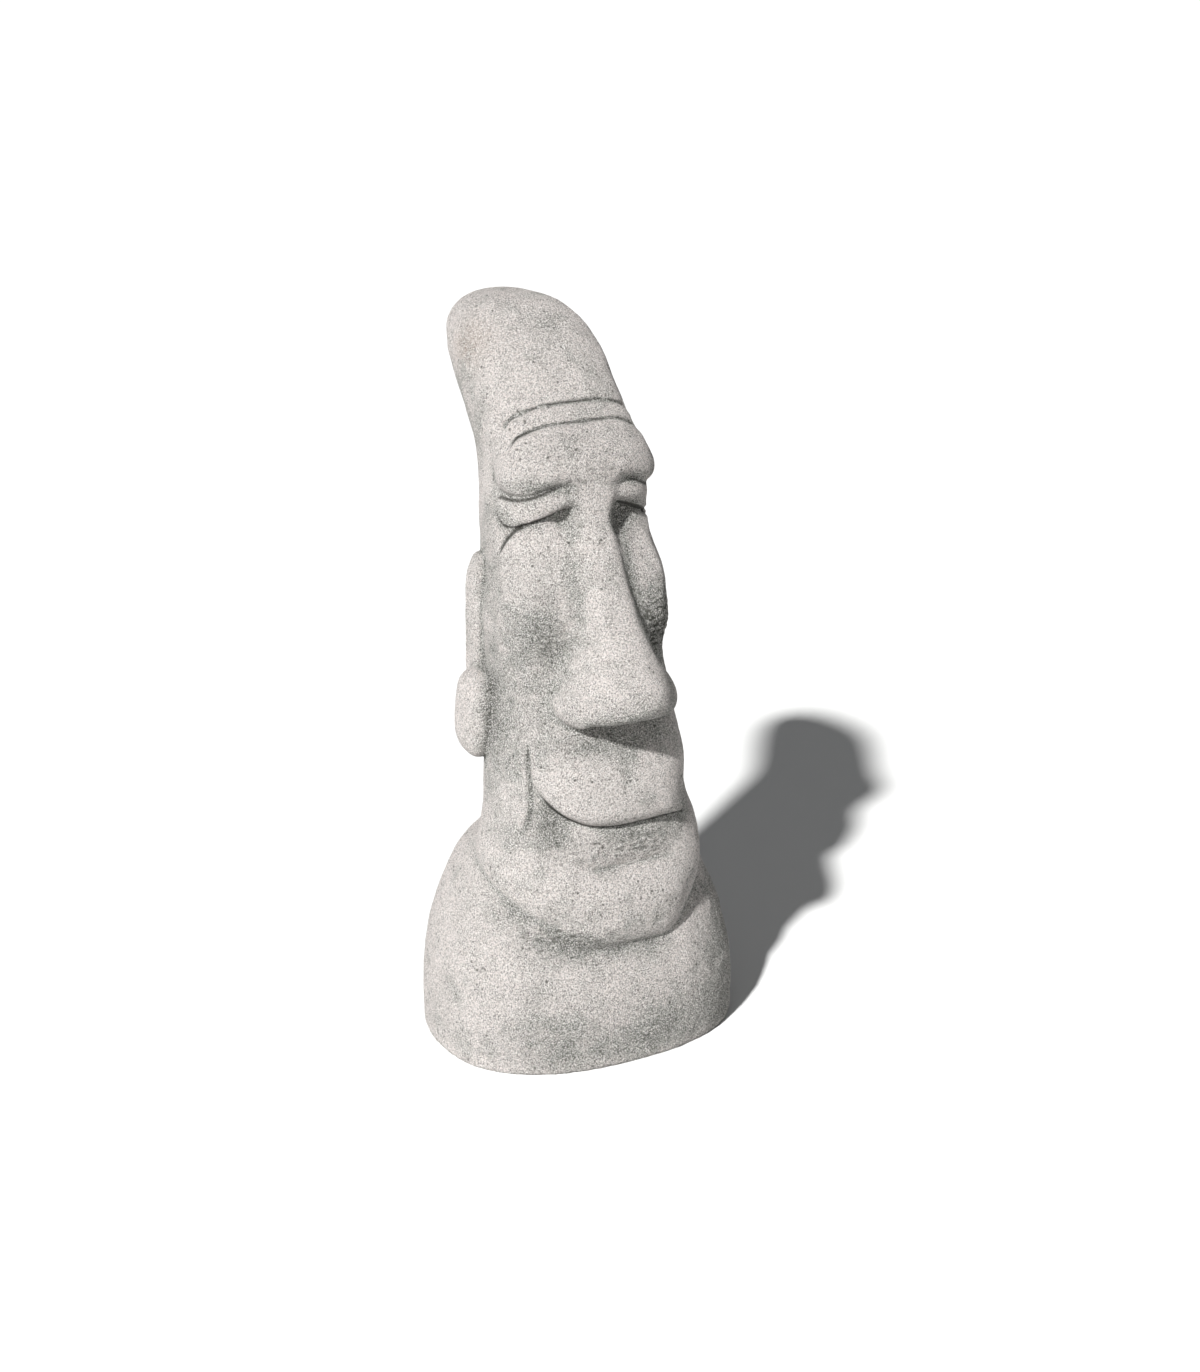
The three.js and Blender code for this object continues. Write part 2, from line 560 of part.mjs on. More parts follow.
function closedRound(points, faces, quadrics, most) {
  const around = points.map(() => []);
  faces.forEach((face, n) => face.forEach((corner) => around[corner].push(n)));
  const edges = faces.flatMap(([a, b, c]) => [[a, b], [b, c], [c, a]]).filter(([a, b]) => a < b);
  const options = edges.map(([a, b]) => {
    const q = quadrics[a].map((value, n) => value + quadrics[b][n]);
    const place = bestPlace(q, points[a], points[b]);
    const length = hypot(...points[a].map((value, axis) => value - points[b][axis]));
    return { a, b, q, place, cost: planeError(q, place) + CLOSING.lengthPrice * length * length };
  });
  options.sort((one, two) => one.cost - two.cost);
  const fixed = new Uint8Array(points.length);
  const gone = new Uint8Array(faces.length);
  let left = min(most, Math.ceil(edges.length * CLOSING.share));
  for (const option of options) {
    if (left <= 0) break;
    const { a, b } = option;
    if (fixed[a] || fixed[b] || !mayClose(points, faces, around, option)) continue;
    for (const n of [...around[a], ...around[b]]) {
      if (faces[n].includes(a) && faces[n].includes(b)) gone[n] = 1;
      for (const corner of faces[n]) fixed[corner] = 1;
      faces[n] = faces[n].map((corner) => (corner === b ? a : corner));
    }
    points[a] = option.place;
    quadrics[a] = option.q;
    left--;
  }
  return faces.filter((_, n) => !gone[n]);
}

// An edge may close where its ends share just two neighbours and no triangle turns over
function mayClose(points, faces, around, { a, b, place }) {
  const ring = (corner) => new Set(around[corner].flatMap((n) => faces[n]));
  const other = ring(b);
  const shared = [...ring(a)].filter((corner) => other.has(corner));
  if (shared.length !== 4) return false;
  for (const n of new Set([...around[a], ...around[b]])) {
    const face = faces[n];
    if (face.includes(a) && face.includes(b)) continue;
    const corners = face.map((corner) => (corner === a || corner === b ? place : points[corner]));
    const was = cross(points, ...face);
    const now = cross(corners, 0, 1, 2);
    const dot = was[0] * now[0] + was[1] * now[1] + was[2] * now[2];
    if (dot < CLOSING.leastCosine * hypot(...was) * hypot(...now) || hypot(...now) < 1) return false;
  }
  return true;
}

const wasm = await Module();
wasm.setup();

function solidOf(geometry) {
  geometry.deleteAttribute('normal');
  geometry.deleteAttribute('uv');
  const merged = mergeVertices(geometry, 1e-4);
  const vertProperties = Float32Array.from(merged.attributes.position.array);
  const triVerts = Uint32Array.from(merged.index.array);
  return new wasm.Manifold(new wasm.Mesh({ numProp: 3, vertProperties, triVerts }));
}

function geometryOf(points, indices) {
  const geometry = new THREE.BufferGeometry();
  geometry.setAttribute('position', new THREE.BufferAttribute(Float32Array.from(points), 3));
  geometry.setIndex(Array.from(indices));
  return geometry;
}

// The stone stands on a level underside: everything below the ground plane is cut away
function statueGeometry() {
  const low = [-45, -40, -2].map((n) => n * CELL);
  const high = [45, 54, 181].map((n) => n * CELL);
  const { points, faces } = simplified(meshed(low, high), TRIANGLES);
  const used = [...new Set(faces.flat())];
  const renumbered = new Map(used.map((corner, n) => [corner, n]));
  const rough = geometryOf(used.flatMap((n) => points[n]), faces.flat().map((n) => renumbered.get(n)));
  const ground = new THREE.BoxGeometry(600, 600, 100).translate(0, 0, -50);
  const mesh = solidOf(rough).subtract(solidOf(ground)).getMesh();
  return geometryOf(mesh.vertProperties, mesh.triVerts);
}

const castStone = new THREE.MeshStandardMaterial({ color: 0xbbb5b0, roughness: 0.95, metalness: 0 });

const moai = new THREE.Mesh(statueGeometry(), castStone);
moai.name = 'moai_statue';

const statue = new THREE.Group();
statue.add(moai);

export default statue;
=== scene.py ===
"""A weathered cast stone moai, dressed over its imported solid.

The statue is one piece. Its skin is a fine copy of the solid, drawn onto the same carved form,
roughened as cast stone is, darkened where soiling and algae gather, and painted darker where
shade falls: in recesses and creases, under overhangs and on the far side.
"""

from __future__ import annotations

import logging
import math
from dataclasses import dataclass
from enum import Enum

import bpy
import numpy as np
from mathutils import Matrix, Vector

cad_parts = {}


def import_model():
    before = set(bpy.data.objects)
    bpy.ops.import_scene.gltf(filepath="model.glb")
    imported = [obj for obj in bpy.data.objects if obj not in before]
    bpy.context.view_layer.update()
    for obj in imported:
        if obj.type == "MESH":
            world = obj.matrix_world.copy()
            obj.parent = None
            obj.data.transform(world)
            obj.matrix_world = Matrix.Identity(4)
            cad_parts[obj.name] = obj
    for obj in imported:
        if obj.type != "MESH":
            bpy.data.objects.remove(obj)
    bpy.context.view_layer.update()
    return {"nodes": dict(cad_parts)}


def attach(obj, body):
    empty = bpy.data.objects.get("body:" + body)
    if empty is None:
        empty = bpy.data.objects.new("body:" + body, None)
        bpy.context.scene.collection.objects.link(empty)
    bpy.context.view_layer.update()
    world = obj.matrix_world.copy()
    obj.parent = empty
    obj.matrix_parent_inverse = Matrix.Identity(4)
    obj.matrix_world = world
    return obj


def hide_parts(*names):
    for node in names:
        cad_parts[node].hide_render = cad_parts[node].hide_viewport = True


LOG = logging.getLogger("moai")
STATUE_NODE = "moai_statue"
BODY = "root"
MM = 0.001
FAR = 60.0
SMALL = 0.001
TINY = 1e-6

Array = np.ndarray
Pair = tuple[float, float]
Triple = tuple[float, float, float]
Station = tuple[float, ...]
Colour = tuple[float, ...]

# How far out a section's measure turns from its mean size to its own radius.
EVEN_CORE: Pair = (0.15, 0.75)


def mix(a: Array | float, b: Array | float, t: Array | float) -> Array:
    """Goes from a to b as t goes from 0 to 1."""
    return a + (b - a) * t


def smoothstep(start: Array | float, end: Array | float, t: Array) -> Array:
    """Rises smoothly from 0 at start to 1 at end, or falls where start is the larger."""
    s = np.clip((t - start) / (end - start), 0.0, 1.0)
    return s * s * (3.0 - 2.0 * s)


def soft_union(a: Array, b: Array, k: Array | float) -> Array:
    """Joins two fields.

    Args:
        a: The first field's values, negative inside.
        b: The second field's values.
        k: The width over which their meeting is rounded, in millimetres.

    Returns:
        The field of both bodies together.
    """
    h = np.maximum(k - np.abs(a - b), 0.0) / k
    return np.minimum(a, b) - h * h * k * 0.25


def soft_cut(a: Array, b: Array, k: Array | float) -> Array:
    """Keeps what is inside both fields, with an edge rounded over k millimetres."""
    return -soft_union(-a, -b, k)


def profile(stations: tuple[Station, ...], column: int, z: Array) -> Array:
    """Reads a smooth curve through a table of stations, level beyond both ends.

    Args:
        stations: Rows that start with a height.
        column: The column to read.
        z: The heights to read it at.

    Returns:
        The curve's value at each height.
    """
    heights = np.array([row[0] for row in stations])
    values = np.array([row[column] for row in stations])
    last = len(heights) - 1
    i = np.clip(np.searchsorted(heights, z, side="right") - 1, 0, last - 1)
    before, after = np.maximum(i - 1, 0), np.minimum(i + 2, last)
    step = heights[i + 1] - heights[i]
    t = np.clip((z - heights[i]) / step, 0.0, 1.0)
    rise = (values[i + 1] - values[before]) / (heights[i + 1] - heights[before]) * step
    fall = (values[after] - values[i]) / (heights[after] - heights[i]) * step
    bend = rise * t * (1.0 - t) ** 2 - fall * t * t * (1.0 - t)
    return mix(values[i], values[i + 1], t * t * (3.0 - 2.0 * t)) + bend


def outline(
    x: Array, f: Array, half: Array | float, reach: Array, squareness: Array | float
) -> tuple[Array, Array]:
    """Measures points against a superellipse.

    Args:
        x: Distance from its middle across.
        f: Distance from its middle to the front.
        half: Its half width.
        reach: Its half depth.
        squareness: Its exponent, 2 for an ellipse.

    Returns:
        The measure, 1 on the outline, and the length that turns it into millimetres.
    """
    r = np.hypot(x, f)
    mean = np.sqrt(half * reach)
    rho = ((np.abs(x) / half) ** squareness + (np.abs(f) / reach) ** squareness) ** (1.0 / squareness)
    radial = r / np.maximum(rho, TINY)
    return rho, np.where(r < SMALL, mean, mix(mean, radial, smoothstep(*EVEN_CORE, rho)))


def section(x: Array, f: Array, half: Array | float, reach: Array, squareness: Array | float) -> Array:
    """Gives the field of a superellipse of the sizes that outline takes."""
    rho, length = outline(x, f, half, reach, squareness)
    return (rho - 1.0) * length


def within(zone: Pair, z: Array, d: Array) -> Array:
    """Keeps a field between two heights only."""
    return np.where((z < zone[0]) | (z > zone[1]), FAR, d)


def turned(p: Array, centre: Triple, yaw: float, pitch: float) -> Array:
    """Gives coordinates about a centre.

    Args:
        p: Rows of x, f and z.
        centre: The centre's x, f and z.
        yaw: How far the body is turned about z, in degrees.
        pitch: How far it is then turned about x, in degrees.

    Returns:
        Rows of x, f and z in the turned body's own directions.
    """
    cy, sy = math.cos(math.radians(yaw)), math.sin(math.radians(yaw))
    cp, sp = math.cos(math.radians(pitch)), math.sin(math.radians(pitch))
    dx, df, dz = (row - middle for row, middle in zip(p, centre))
    forward = cy * df - sy * dx
    return np.array([cy * dx + sy * df, cp * forward + sp * dz, cp * dz - sp * forward])


def smooth_path(knots: Array, steps: int) -> Array:
    """Draws a smooth curve through knots.

    Args:
        knots: Rows of coordinates.
        steps: How many straight steps replace each stretch between two knots.

    Returns:
        Rows of coordinates along the curve.
    """
    ends = len(knots) - 1
    out = []
    for i in range(ends):
        a, b, c, d = (knots[min(max(n, 0), ends)] for n in (i - 1, i, i + 1, i + 2))
        for t in np.arange(steps) / steps:
            even = (2 * a - 5 * b + 4 * c - d) * t * t
            out.append(0.5 * (2 * b + (c - a) * t + even + (3 * b - a - 3 * c + d) * t**3))
    return np.array([*out, knots[-1]])


@dataclass(frozen=True)
class Egg:
    """An ellipsoid of clay, in millimetres and degrees."""

    centre: Triple
    radii: Triple
    yaw: float = 0.0
    pitch: float = 0.0

    def at(self, p: Array) -> Array:
        """Gives the field's value at points.

        Args:
            p: Rows of x, f and z.

        Returns:
            The field's values.
        """
        own = turned(p, self.centre, self.yaw, self.pitch)
        near = np.sqrt(sum((value / radius) ** 2 for value, radius in zip(own, self.radii)))
        slope = np.sqrt(sum((value / radius**2) ** 2 for value, radius in zip(own, self.radii)))
        return near * (near - 1.0) / np.maximum(slope, TINY)


@dataclass(frozen=True)
class SoftBox:
    """A box of clay with bulging faces and round edges, in millimetres and degrees."""

    centre: Triple
    half: Triple
    squareness: float
    yaw: float = 0.0
    pitch: float = 0.0

    def at(self, p: Array) -> Array:
        """Gives the field's value at points.

        Args:
            p: Rows of x, f and z.

        Returns:
            The field's values.
        """
        own = turned(p, self.centre, self.yaw, self.pitch)
        total = sum((np.abs(value) / half) ** self.squareness for value, half in zip(own, self.half))
        rho = np.maximum(total ** (1.0 / self.squareness), TINY)
        length = np.sqrt(sum(value * value for value in own))
        return length - length / rho


@dataclass(frozen=True)
class Bead:
    """A roll of clay through points, each x, f, z and radius."""

    points: tuple[tuple[float, float, float, float], ...]
    steps: int = 8
    join: float = 1.5

    def at(self, p: Array) -> Array:
        """Gives the field's value at points.

        Args:
            p: Rows of x, f and z.

        Returns:
            The field's values.
        """
        d = np.full_like(p[0], FAR)
        path = smooth_path(np.array(self.points), self.steps)
        for a, b in zip(path, path[1:]):
            axis = b[:3] - a[:3]
            start = [row - value for row, value in zip(p, a)]
            t = np.clip(sum(s * n for s, n in zip(start, axis)) / (axis @ axis), 0.0, 1.0)
            gap = np.sqrt(sum((s - n * t) ** 2 for s, n in zip(start, axis)))
            d = soft_union(d, gap - mix(a[3], b[3], t), self.join)
        return d


@dataclass(frozen=True)
class Incision:
    """A line cut into the stone, drawn on the head unrolled.

    Its points are the distance around the head from its middle and the height. The stone along
    the line's left side may be raised into a soft lip.
    """

    points: tuple[Pair, ...]
    depth: float
    width: float
    lip: float = 0.0
    fade: float = 0.0
    start: float = 0.0
    end: float = 0.0
    steps: int = 6
    lip_edge: Pair = (-0.6, 0.9)
    lip_narrowing: float = 1.6
    groove_reach: float = 3.0

    def height(self, around: Array, z: Array) -> Array:
        """Gives how far the line raises the surface, negative in its groove.

        Args:
            around: Distance around the head.
            z: Height.

        Returns:
            The change of height in millimetres.
        """
        path = smooth_path(np.array(self.points), self.steps)
        reach = max(self.fade * self.lip_narrowing, self.groove_reach * self.width)
        gap, side, share = np.full_like(z, reach), np.zeros_like(z), np.zeros_like(z)
        for i, (a, b) in enumerate(zip(path, path[1:])):
            run = b - a
            px, pz = around - a[0], z - a[1]
            t = np.clip((px * run[0] + pz * run[1]) / (run @ run), 0.0, 1.0)
            here = np.hypot(px - run[0] * t, pz - run[1] * t)
            nearer = here < gap
            gap = np.where(nearer, here, gap)
            side = np.where(nearer, run[0] * pz - run[1] * px, side)
            share = np.where(nearer, (i + t) / (len(path) - 1), share)
        strength = np.where(gap < reach, 1.0, 0.0)
        if self.start:
            strength = strength * smoothstep(0.0, self.start, share)
        if self.end:
            strength = strength * smoothstep(1.0, 1.0 - self.end, share)
        change = -self.depth * np.exp(-((gap / self.width) ** 2))
        if self.lip:
            signed = np.where(side < 0, -gap, gap)
            beside = smoothstep(self.lip_edge[0] * self.width, self.lip_edge[1] * self.width, signed)
            change = change + self.lip * beside * np.exp(-((self.lip_narrowing * gap / self.fade) ** 2))
        return strength * change

    def bottom(self, around: Array, z: Array) -> Array:
        """Gives 1 in the middle of the groove and 0 away from it."""
        return np.clip(-self.height(around, z) / self.depth, 0.0, 1.0)


@dataclass(frozen=True)
class Change:
    """A size that goes smoothly from one value to another over a range."""

    values: Pair
    over: Pair

    def at(self, place: Array) -> Array:
        """Gives the size at places along the range."""
        return mix(*self.values, smoothstep(*self.over, place))


@dataclass(frozen=True)
class Head:
    """The head without its features: leaning sections, a domed crown and a slanted jaw line.

    A section is its height, its middle, its half width, and its reach to the front and the back.
    """

    sections: tuple[Station, ...] = (
        (60, 10, 140, 100, 120),
        (180, 18, 138, 100, 125),
        (262, 20, 132, 98, 122),
        (325, 14, 122, 93, 120),
        (400, 4, 115, 88, 121),
        (480, -6, 108, 78, 126),
        (565, -15, 103, 72, 128),
        (640, -23, 98, 68, 129),
        (690, -30, 94, 70, 129),
        (735, -44, 92, 73, 134),
        (770, -69, 90, 73, 138),
        (800, -94, 88, 73, 137),
        (830, -118, 87, 74, 137),
        (860, -140, 85, 72, 134),
        (890, -158, 81, 69, 126),
    )
    front_squareness: float = 2.5
    back_squareness: float = 2.0
    scale: Change = Change((1.0, 0.78), (700, 780))
    crown_from: float = 800.0
    crown_top: float = 893.0
    crown_roundness: float = 2.6
    jaw_front: float = 128.0
    jaw_height: float = 150.0
    jaw_rise: float = 0.62
    jaw_scale: float = 0.85
    jaw_rounding: float = 50.0
    unrolled_radius: float = 100.0
    unrolled_behind: float = 30.0

    def middle(self, z: Array) -> Array:
        """Gives how far forward the head's middle lies."""
        return profile(self.sections, 1, z)

    def around(self, p: Array) -> Array:
        """Gives the distance around the head from its middle, with the head unrolled."""
        x, f, z = p
        return self.unrolled_radius * np.arctan2(x, f - self.middle(z) + self.unrolled_behind)

    def at(self, p: Array) -> Array:
        """Gives the field's value at points.

        Args:
            p: Rows of x, f and z.

        Returns:
            The field's values.
        """
        x, f, z = p
        depth = f - self.middle(z)
        front = depth > 0
        reach = np.where(front, profile(self.sections, 3, z), profile(self.sections, 4, z))
        squareness = np.where(front, self.front_squareness, self.back_squareness)
        rho, length = outline(x, depth, profile(self.sections, 2, z), reach, squareness)
        rise = np.maximum(0.0, (z - self.crown_from) / (self.crown_top - self.crown_from))
        n = self.crown_roundness
        domed = (rho**n + rise**n) ** (1.0 / n)
        jaw_line = (self.jaw_height + self.jaw_rise * (self.jaw_front - f) - z) * self.jaw_scale
        return soft_cut((domed - 1.0) * length * self.scale.at(z), jaw_line, self.jaw_rounding)


@dataclass(frozen=True)
class Brow:
    """The forehead, which swells out of the head and ends below in an overhanging brow."""

    height: float = 768.0
    droop: float = 26.0
    droop_power: float = 2.4
    half_width: float = 92.0
    below: float = 34.0
    above: float = 16.0
    low: Change = Change((698, 685), (44, 82))
    sides: Pair = (-44, 14)
    zone: Pair = (639, 808)
    swell: float = 17.0
    overhang: float = 26.0
    join: float = 8.0

    def added(self, head: Array, p: Array) -> Array:
        """Gives the head's field with the forehead on it.

        Args:
            head: The head's field.
            p: Rows of x, f and z.

        Returns:
            The field's values.
        """
        x, f, z = p
        top = self.height - self.droop * (x / self.half_width) ** self.droop_power
        share = (1.0 - smoothstep(top - self.below, top + self.above, z)) * smoothstep(*self.sides, f)
        swollen = soft_cut(head - self.swell * share, self.low.at(x) - z, self.overhang)
        joined = soft_union(head, swollen, self.join * share + SMALL)
        return np.where((z < self.zone[0]) | (z > self.zone[1]), head, joined)


@dataclass(frozen=True)
class Bust:
    """The bell of the bust, which narrows into the neck.

    A section is its height, its half width, and its reach to the front and the back.
    """

    sections: tuple[Station, ...] = (
        (0, 194, 150, 160),
        (60, 195, 151, 162),
        (110, 191, 147, 162),
        (150, 182, 136, 160),
        (190, 165, 116, 154),
        (225, 146, 96, 142),
        (255, 119, 74, 121),
        (285, 90, 50, 96),
        (320, 64, 30, 70),
        (380, 50, 10, 60),
    )
    front_squareness: Change = Change((2.4, 2.12), (50, 150))
    back_squareness: float = 2.3
    scale: float = 0.85
    top: float = 360.0
    top_rounding: float = 60.0

    def at(self, p: Array) -> Array:
        """Gives the field's value at points.

        Args:
            p: Rows of x, f and z.

        Returns:
            The field's values.
        """
        x, f, z = p
        front = f > 0
        squareness = np.where(front, self.front_squareness.at(z), self.back_squareness)
        reach = np.where(front, profile(self.sections, 2, z), profile(self.sections, 3, z))
        side = section(x, f, profile(self.sections, 1, z), reach, squareness)
        return soft_cut(side * self.scale, z - self.top, self.top_rounding)


@dataclass(frozen=True)
class Cheek:
    """A flat cheek whose outer corner is cut back above the cheekbone and straight beside it."""

    mass: SoftBox = SoftBox((54, -4, 578), (48, 58, 84), 4.0, yaw=-12, pitch=20)
    outward: Pair = (0.866, 0.5)
    bone_reach: float = 78.0
    bone_height: float = 634.0
    bone_slope: Pair = (0.89, 0.455)
    bone_rounding: float = 7.0
    flank_reach: float = 108.0
    flank_height: float = 590.0
    flank_lean: float = 0.07
    flank_rounding: float = 10.0
    zone: Pair = (380, 720)

    def at(self, p: Array) -> Array:
        """Gives the field's value at points.

        Args:
            p: Rows of x, f and z.

        Returns:
            The field's values.
        """
        x, f, z = p
        outward = self.outward[0] * x + self.outward[1] * f
        out, up = self.bone_slope
        above = out * (outward - self.bone_reach) + up * (z - self.bone_height)
        flank = outward - self.flank_reach + self.flank_lean * (self.flank_height - z)
        mass = soft_cut(self.mass.at(p), above, self.bone_rounding)
        return within(self.zone, z, soft_cut(mass, flank, self.flank_rounding))


@dataclass(frozen=True)
class Nose:
    """A wedge that widens downward into the wings, cut level underneath.

    A section is its height, its half width, its reach to the front and its squareness.
    """

    sections: tuple[Station, ...] = (
        (400, 75, 104, 1.9),
        (430, 76, 110, 1.9),
        (452, 74, 110, 1.85),
        (476, 66, 102, 1.85),
        (502, 55, 84, 1.95),
        (532, 44, 66, 2.2),
        (565, 38, 54, 2.5),
        (600, 34, 46, 2.8),
        (640, 31, 37, 2.8),
        (670, 30, 33, 2.7),
        (700, 36, 34, 2.4),
    )
    root: Change = Change((66, 22), (460, 640))
    back: float = 50.0
    scale: float = 0.85
    wing: Egg = Egg((50, 92, 440), (26, 32, 32))
    wing_join: float = 16.0
    underside: Pair = (419, 437)
    underside_half_width: float = 60.0
    underside_rounding: float = 36.0
    top: float = 705.0
    top_rounding: float = 30.0
    zone: Pair = (380, 760)
    behind: float = -20.0

    def at(self, p: Array) -> Array:
        """Gives the field's value at points.

        Args:
            p: Rows of x, f and z.

        Returns:
            The field's values.
        """
        x, f, z = p
        root = self.root.at(z)
        reach = np.where(f > root, profile(self.sections, 2, z), self.back)
        side = section(x, f - root, profile(self.sections, 1, z), reach, profile(self.sections, 3, z))
        d = soft_union(side * self.scale, self.wing.at(p), self.wing_join)
        lift = np.maximum(0.0, 1.0 - (x / self.underside_half_width) ** 2)
        d = soft_cut(d, mix(*self.underside, lift) - z, self.underside_rounding)
        d = soft_cut(d, z - self.top, self.top_rounding)
        return np.where(f < self.behind, FAR, within(self.zone, z, d))


@dataclass(frozen=True)
class Eye:
    """A heavy eyelid over a closed eye, with a hollow beside the nose."""

    lid: Bead = Bead(
        ((26, 32, 687, 11), (42, 27, 684, 16), (60, 16, 678, 19), (76, -2, 672, 16.5), (86, -14, 669, 13))
    )
    lid_zone: Pair = (600, 720)
    lid_join: float = 6.0
    hollow: Egg = Egg((37, 52, 656), (17, 17, 19))
    hollow_rounding: float = 14.0

    def added(self, d: Array, p: Array) -> Array:
        """Gives the face's field with the hollow cut in it and the eyelid on it.

        Args:
            d: The face's field so far.
            p: Rows of x, f and z.

        Returns:
            The field's values.
        """
        d = soft_cut(d, -self.hollow.at(p), self.hollow_rounding)
        return soft_union(d, within(self.lid_zone, p[2], self.lid.at(p)), self.lid_join)


@dataclass(frozen=True)
class UpperLip:
    """A full upper lip over a bowed mouth line that turns up at its right corner only.

    Pairs of rises are for the statue's right half and its left half.
    """

    half_width: float = 106.0
    reach: Change = Change((101, 82), (352, 424))
    back: float = 60.0
    seat: float = 26.0
    squareness: float = 2.8
    scale: float = 0.95
    top: Change = Change((430, 424), (70, 105))
    top_rounding: Change = Change((24, 90), (70, 105))
    groove_depth: float = 2.5
    groove_half_width: float = 11.0
    groove_top: Pair = (410, 385)
    groove_bottom: Pair = (335, 365)
    mouth_height: float = 297.0
    bow_at: float = 60.0
    bow_rises: Pair = (9, -1)
    corner_at: float = 92.0
    corner_rises: Pair = (16, -6)
    corner_power: int = 6
    end_drop: Change = Change((0, 90), (58, 28))
    mouth_rounding: Change = Change((24, 10), (40, 95))
    zone: Pair = (260, 460)

    def mouth_line(self, x: Array, left: Array) -> Array:
        """Draws the mouth's bowed line.

        Args:
            x: Distance from the middle plane.
            left: 0 in the right half and 1 in the left half.

        Returns:
            The line's height.
        """
        bow = mix(*self.bow_rises, left) * (x / self.bow_at) ** 2
        corner = mix(*self.corner_rises, left) * (x / self.corner_at) ** self.corner_power
        return self.mouth_height + bow + corner

    def at(self, p: Array, left: Array) -> Array:
        """Gives the field's value at points, left of the middle where left is 1.

        Args:
            p: Rows of x, f and z.
            left: 0 in the right half and 1 in the left half.

        Returns:
            The field's values.
        """
        x, f, z = p
        reach = np.where(f > self.seat, self.reach.at(z), self.back)
        side = section(x, f - self.seat, self.half_width, reach, self.squareness) * self.scale
        groove = smoothstep(*self.groove_top, z) * smoothstep(*self.groove_bottom, z)
        dip = self.groove_depth * np.exp(-((x / self.groove_half_width) ** 2)) * groove
        full = soft_cut(side, z - self.top.at(x), self.top_rounding.at(x)) + dip
        under = self.mouth_line(x, left) - self.end_drop.at(f) - z
        return within(self.zone, z, soft_cut(full, under, self.mouth_rounding.at(x)))


@dataclass(frozen=True)
class LowerFace:
    """The lower lip, the chin and the jowls, with a hollow at the mouth's right corner."""

    lip: SoftBox = SoftBox((0, 34, 276), (78, 77, 32), 2.6)
    lip_join: float = 18.0
    chin: SoftBox = SoftBox((0, 68, 190), (88, 78, 58), 2.9)
    jowl: Egg = Egg((86, 16, 243), (54, 64, 64), yaw=-10)
    jowl_join: float = 50.0
    chin_side: Egg = Egg((72, 56, 215), (44, 50, 44))
    chin_side_join: float = 44.0
    zone: Pair = (60, 420)
    join: float = 20.0
    hollow: Egg = Egg((87, 102, 303), (18, 18, 20), yaw=-30)
    hollow_rounding: float = 22.0
    hollow_ends: float = 40.0

    def at(self, p: Array) -> Array:
        """Gives the field's value at points, without the hollow.

        Args:
            p: Rows of x, f and z.

        Returns:
            The field's values.
        """
        mass = soft_union(self.chin.at(p), self.jowl.at(p), self.jowl_join)
        mass = soft_union(mass, self.chin_side.at(p), self.chin_side_join)
        return within(self.zone, p[2], soft_union(self.lip.at(p), mass, self.lip_join))

    def added(self, d: Array, p: Array, left: Array) -> Array:
        """Gives the face's field with the lower face on it and the hollow cut in it."""
        d = soft_union(d, self.at(p), self.join)
        return soft_cut(d, -self.hollow.at(p) - self.hollow_ends * left, self.hollow_rounding)


@dataclass(frozen=True)
class Ear:
    """A long ear blade that ends in a thick lobe."""

    blade: SoftBox = SoftBox((87.5, -66, 492), (24, 20, 112), 4, pitch=-2)
    lobe: SoftBox = SoftBox((115, -42, 411), (22, 34, 55), 2.8, pitch=-6)
    lobe_join: float = 12.0
    zone: Pair = (330, 640)
    join: float = 4.0

    def at(self, p: Array) -> Array:
        """Gives the field's value at points."""
        return within(self.zone, p[2], soft_union(self.blade.at(p), self.lobe.at(p), self.lobe_join))


@dataclass(frozen=True)
class Lines:
    """The lines cut into the head."""

    upper_wrinkle: Incision = Incision(
        ((92, 757), (80, 768), (66, 775), (42, 782), (20, 784), (0, 784)), 4.4, 2.4, 1.6, 18, start=0.12
    )
    lower_wrinkle: Incision = Incision(
        ((90, 737), (79, 749), (66, 756), (44, 763), (20, 765), (0, 765)), 4.4, 2.4, 1.6, 18, start=0.12
    )
    eyelid_edge: Incision = Incision(
        ((126, 664), (122, 655), (114, 650), (104, 648), (90, 650), (72, 657), (50, 666), (30, 673)),
        3.5, 2.6, start=0.1, end=0.1,
    )
    eye_socket: Incision = Incision(
        ((96, 648), (72, 657), (50, 666), (28, 674)), 0, 3, -9, 52, start=0.4, end=0.3
    )
    eye_corner: Incision = Incision(
        ((82, 652), (96, 644), (110, 628), (120, 605)), 4.5, 3, start=0.1, end=0.3
    )
    chin_crease: Incision = Incision(((62, 242), (40, 246), (20, 247), (0, 247)), 3, 6, start=0.5)
    jowl_fold: Incision = Incision(
        ((86, 402), (87, 372), (87, 345), (88, 322), (93, 300), (101, 284)),
        4, 2.4, 3, 26, start=0.15, end=0.3,
    )

    def height(self, around: Array, z: Array, left: Array) -> Array:
        """Gives how far all lines raise the surface. The fold is in the right jowl only.

        Args:
            around: Distance around the head.
            z: Height.
            left: 0 in the right half and 1 in the left half.

        Returns:
            The change of height in millimetres.
        """
        wrinkles = (self.upper_wrinkle, self.lower_wrinkle)
        eye = (self.eyelid_edge, self.eye_socket, self.eye_corner)
        both = sum(line.height(around, z) for line in (*wrinkles, *eye, self.chin_crease))
        return both + self.jowl_fold.height(around, z) * (1 - left)

    def bottoms(self, around: Array, z: Array, left: Array) -> list[Array]:
        """Gives how near points lie to the bottom of each thin line, 1 in its middle."""
        thin = (self.upper_wrinkle, self.lower_wrinkle, self.eyelid_edge, self.eye_corner)
        return [*(line.bottom(around, z) for line in thin), self.jowl_fold.bottom(around, z) * (1 - left)]


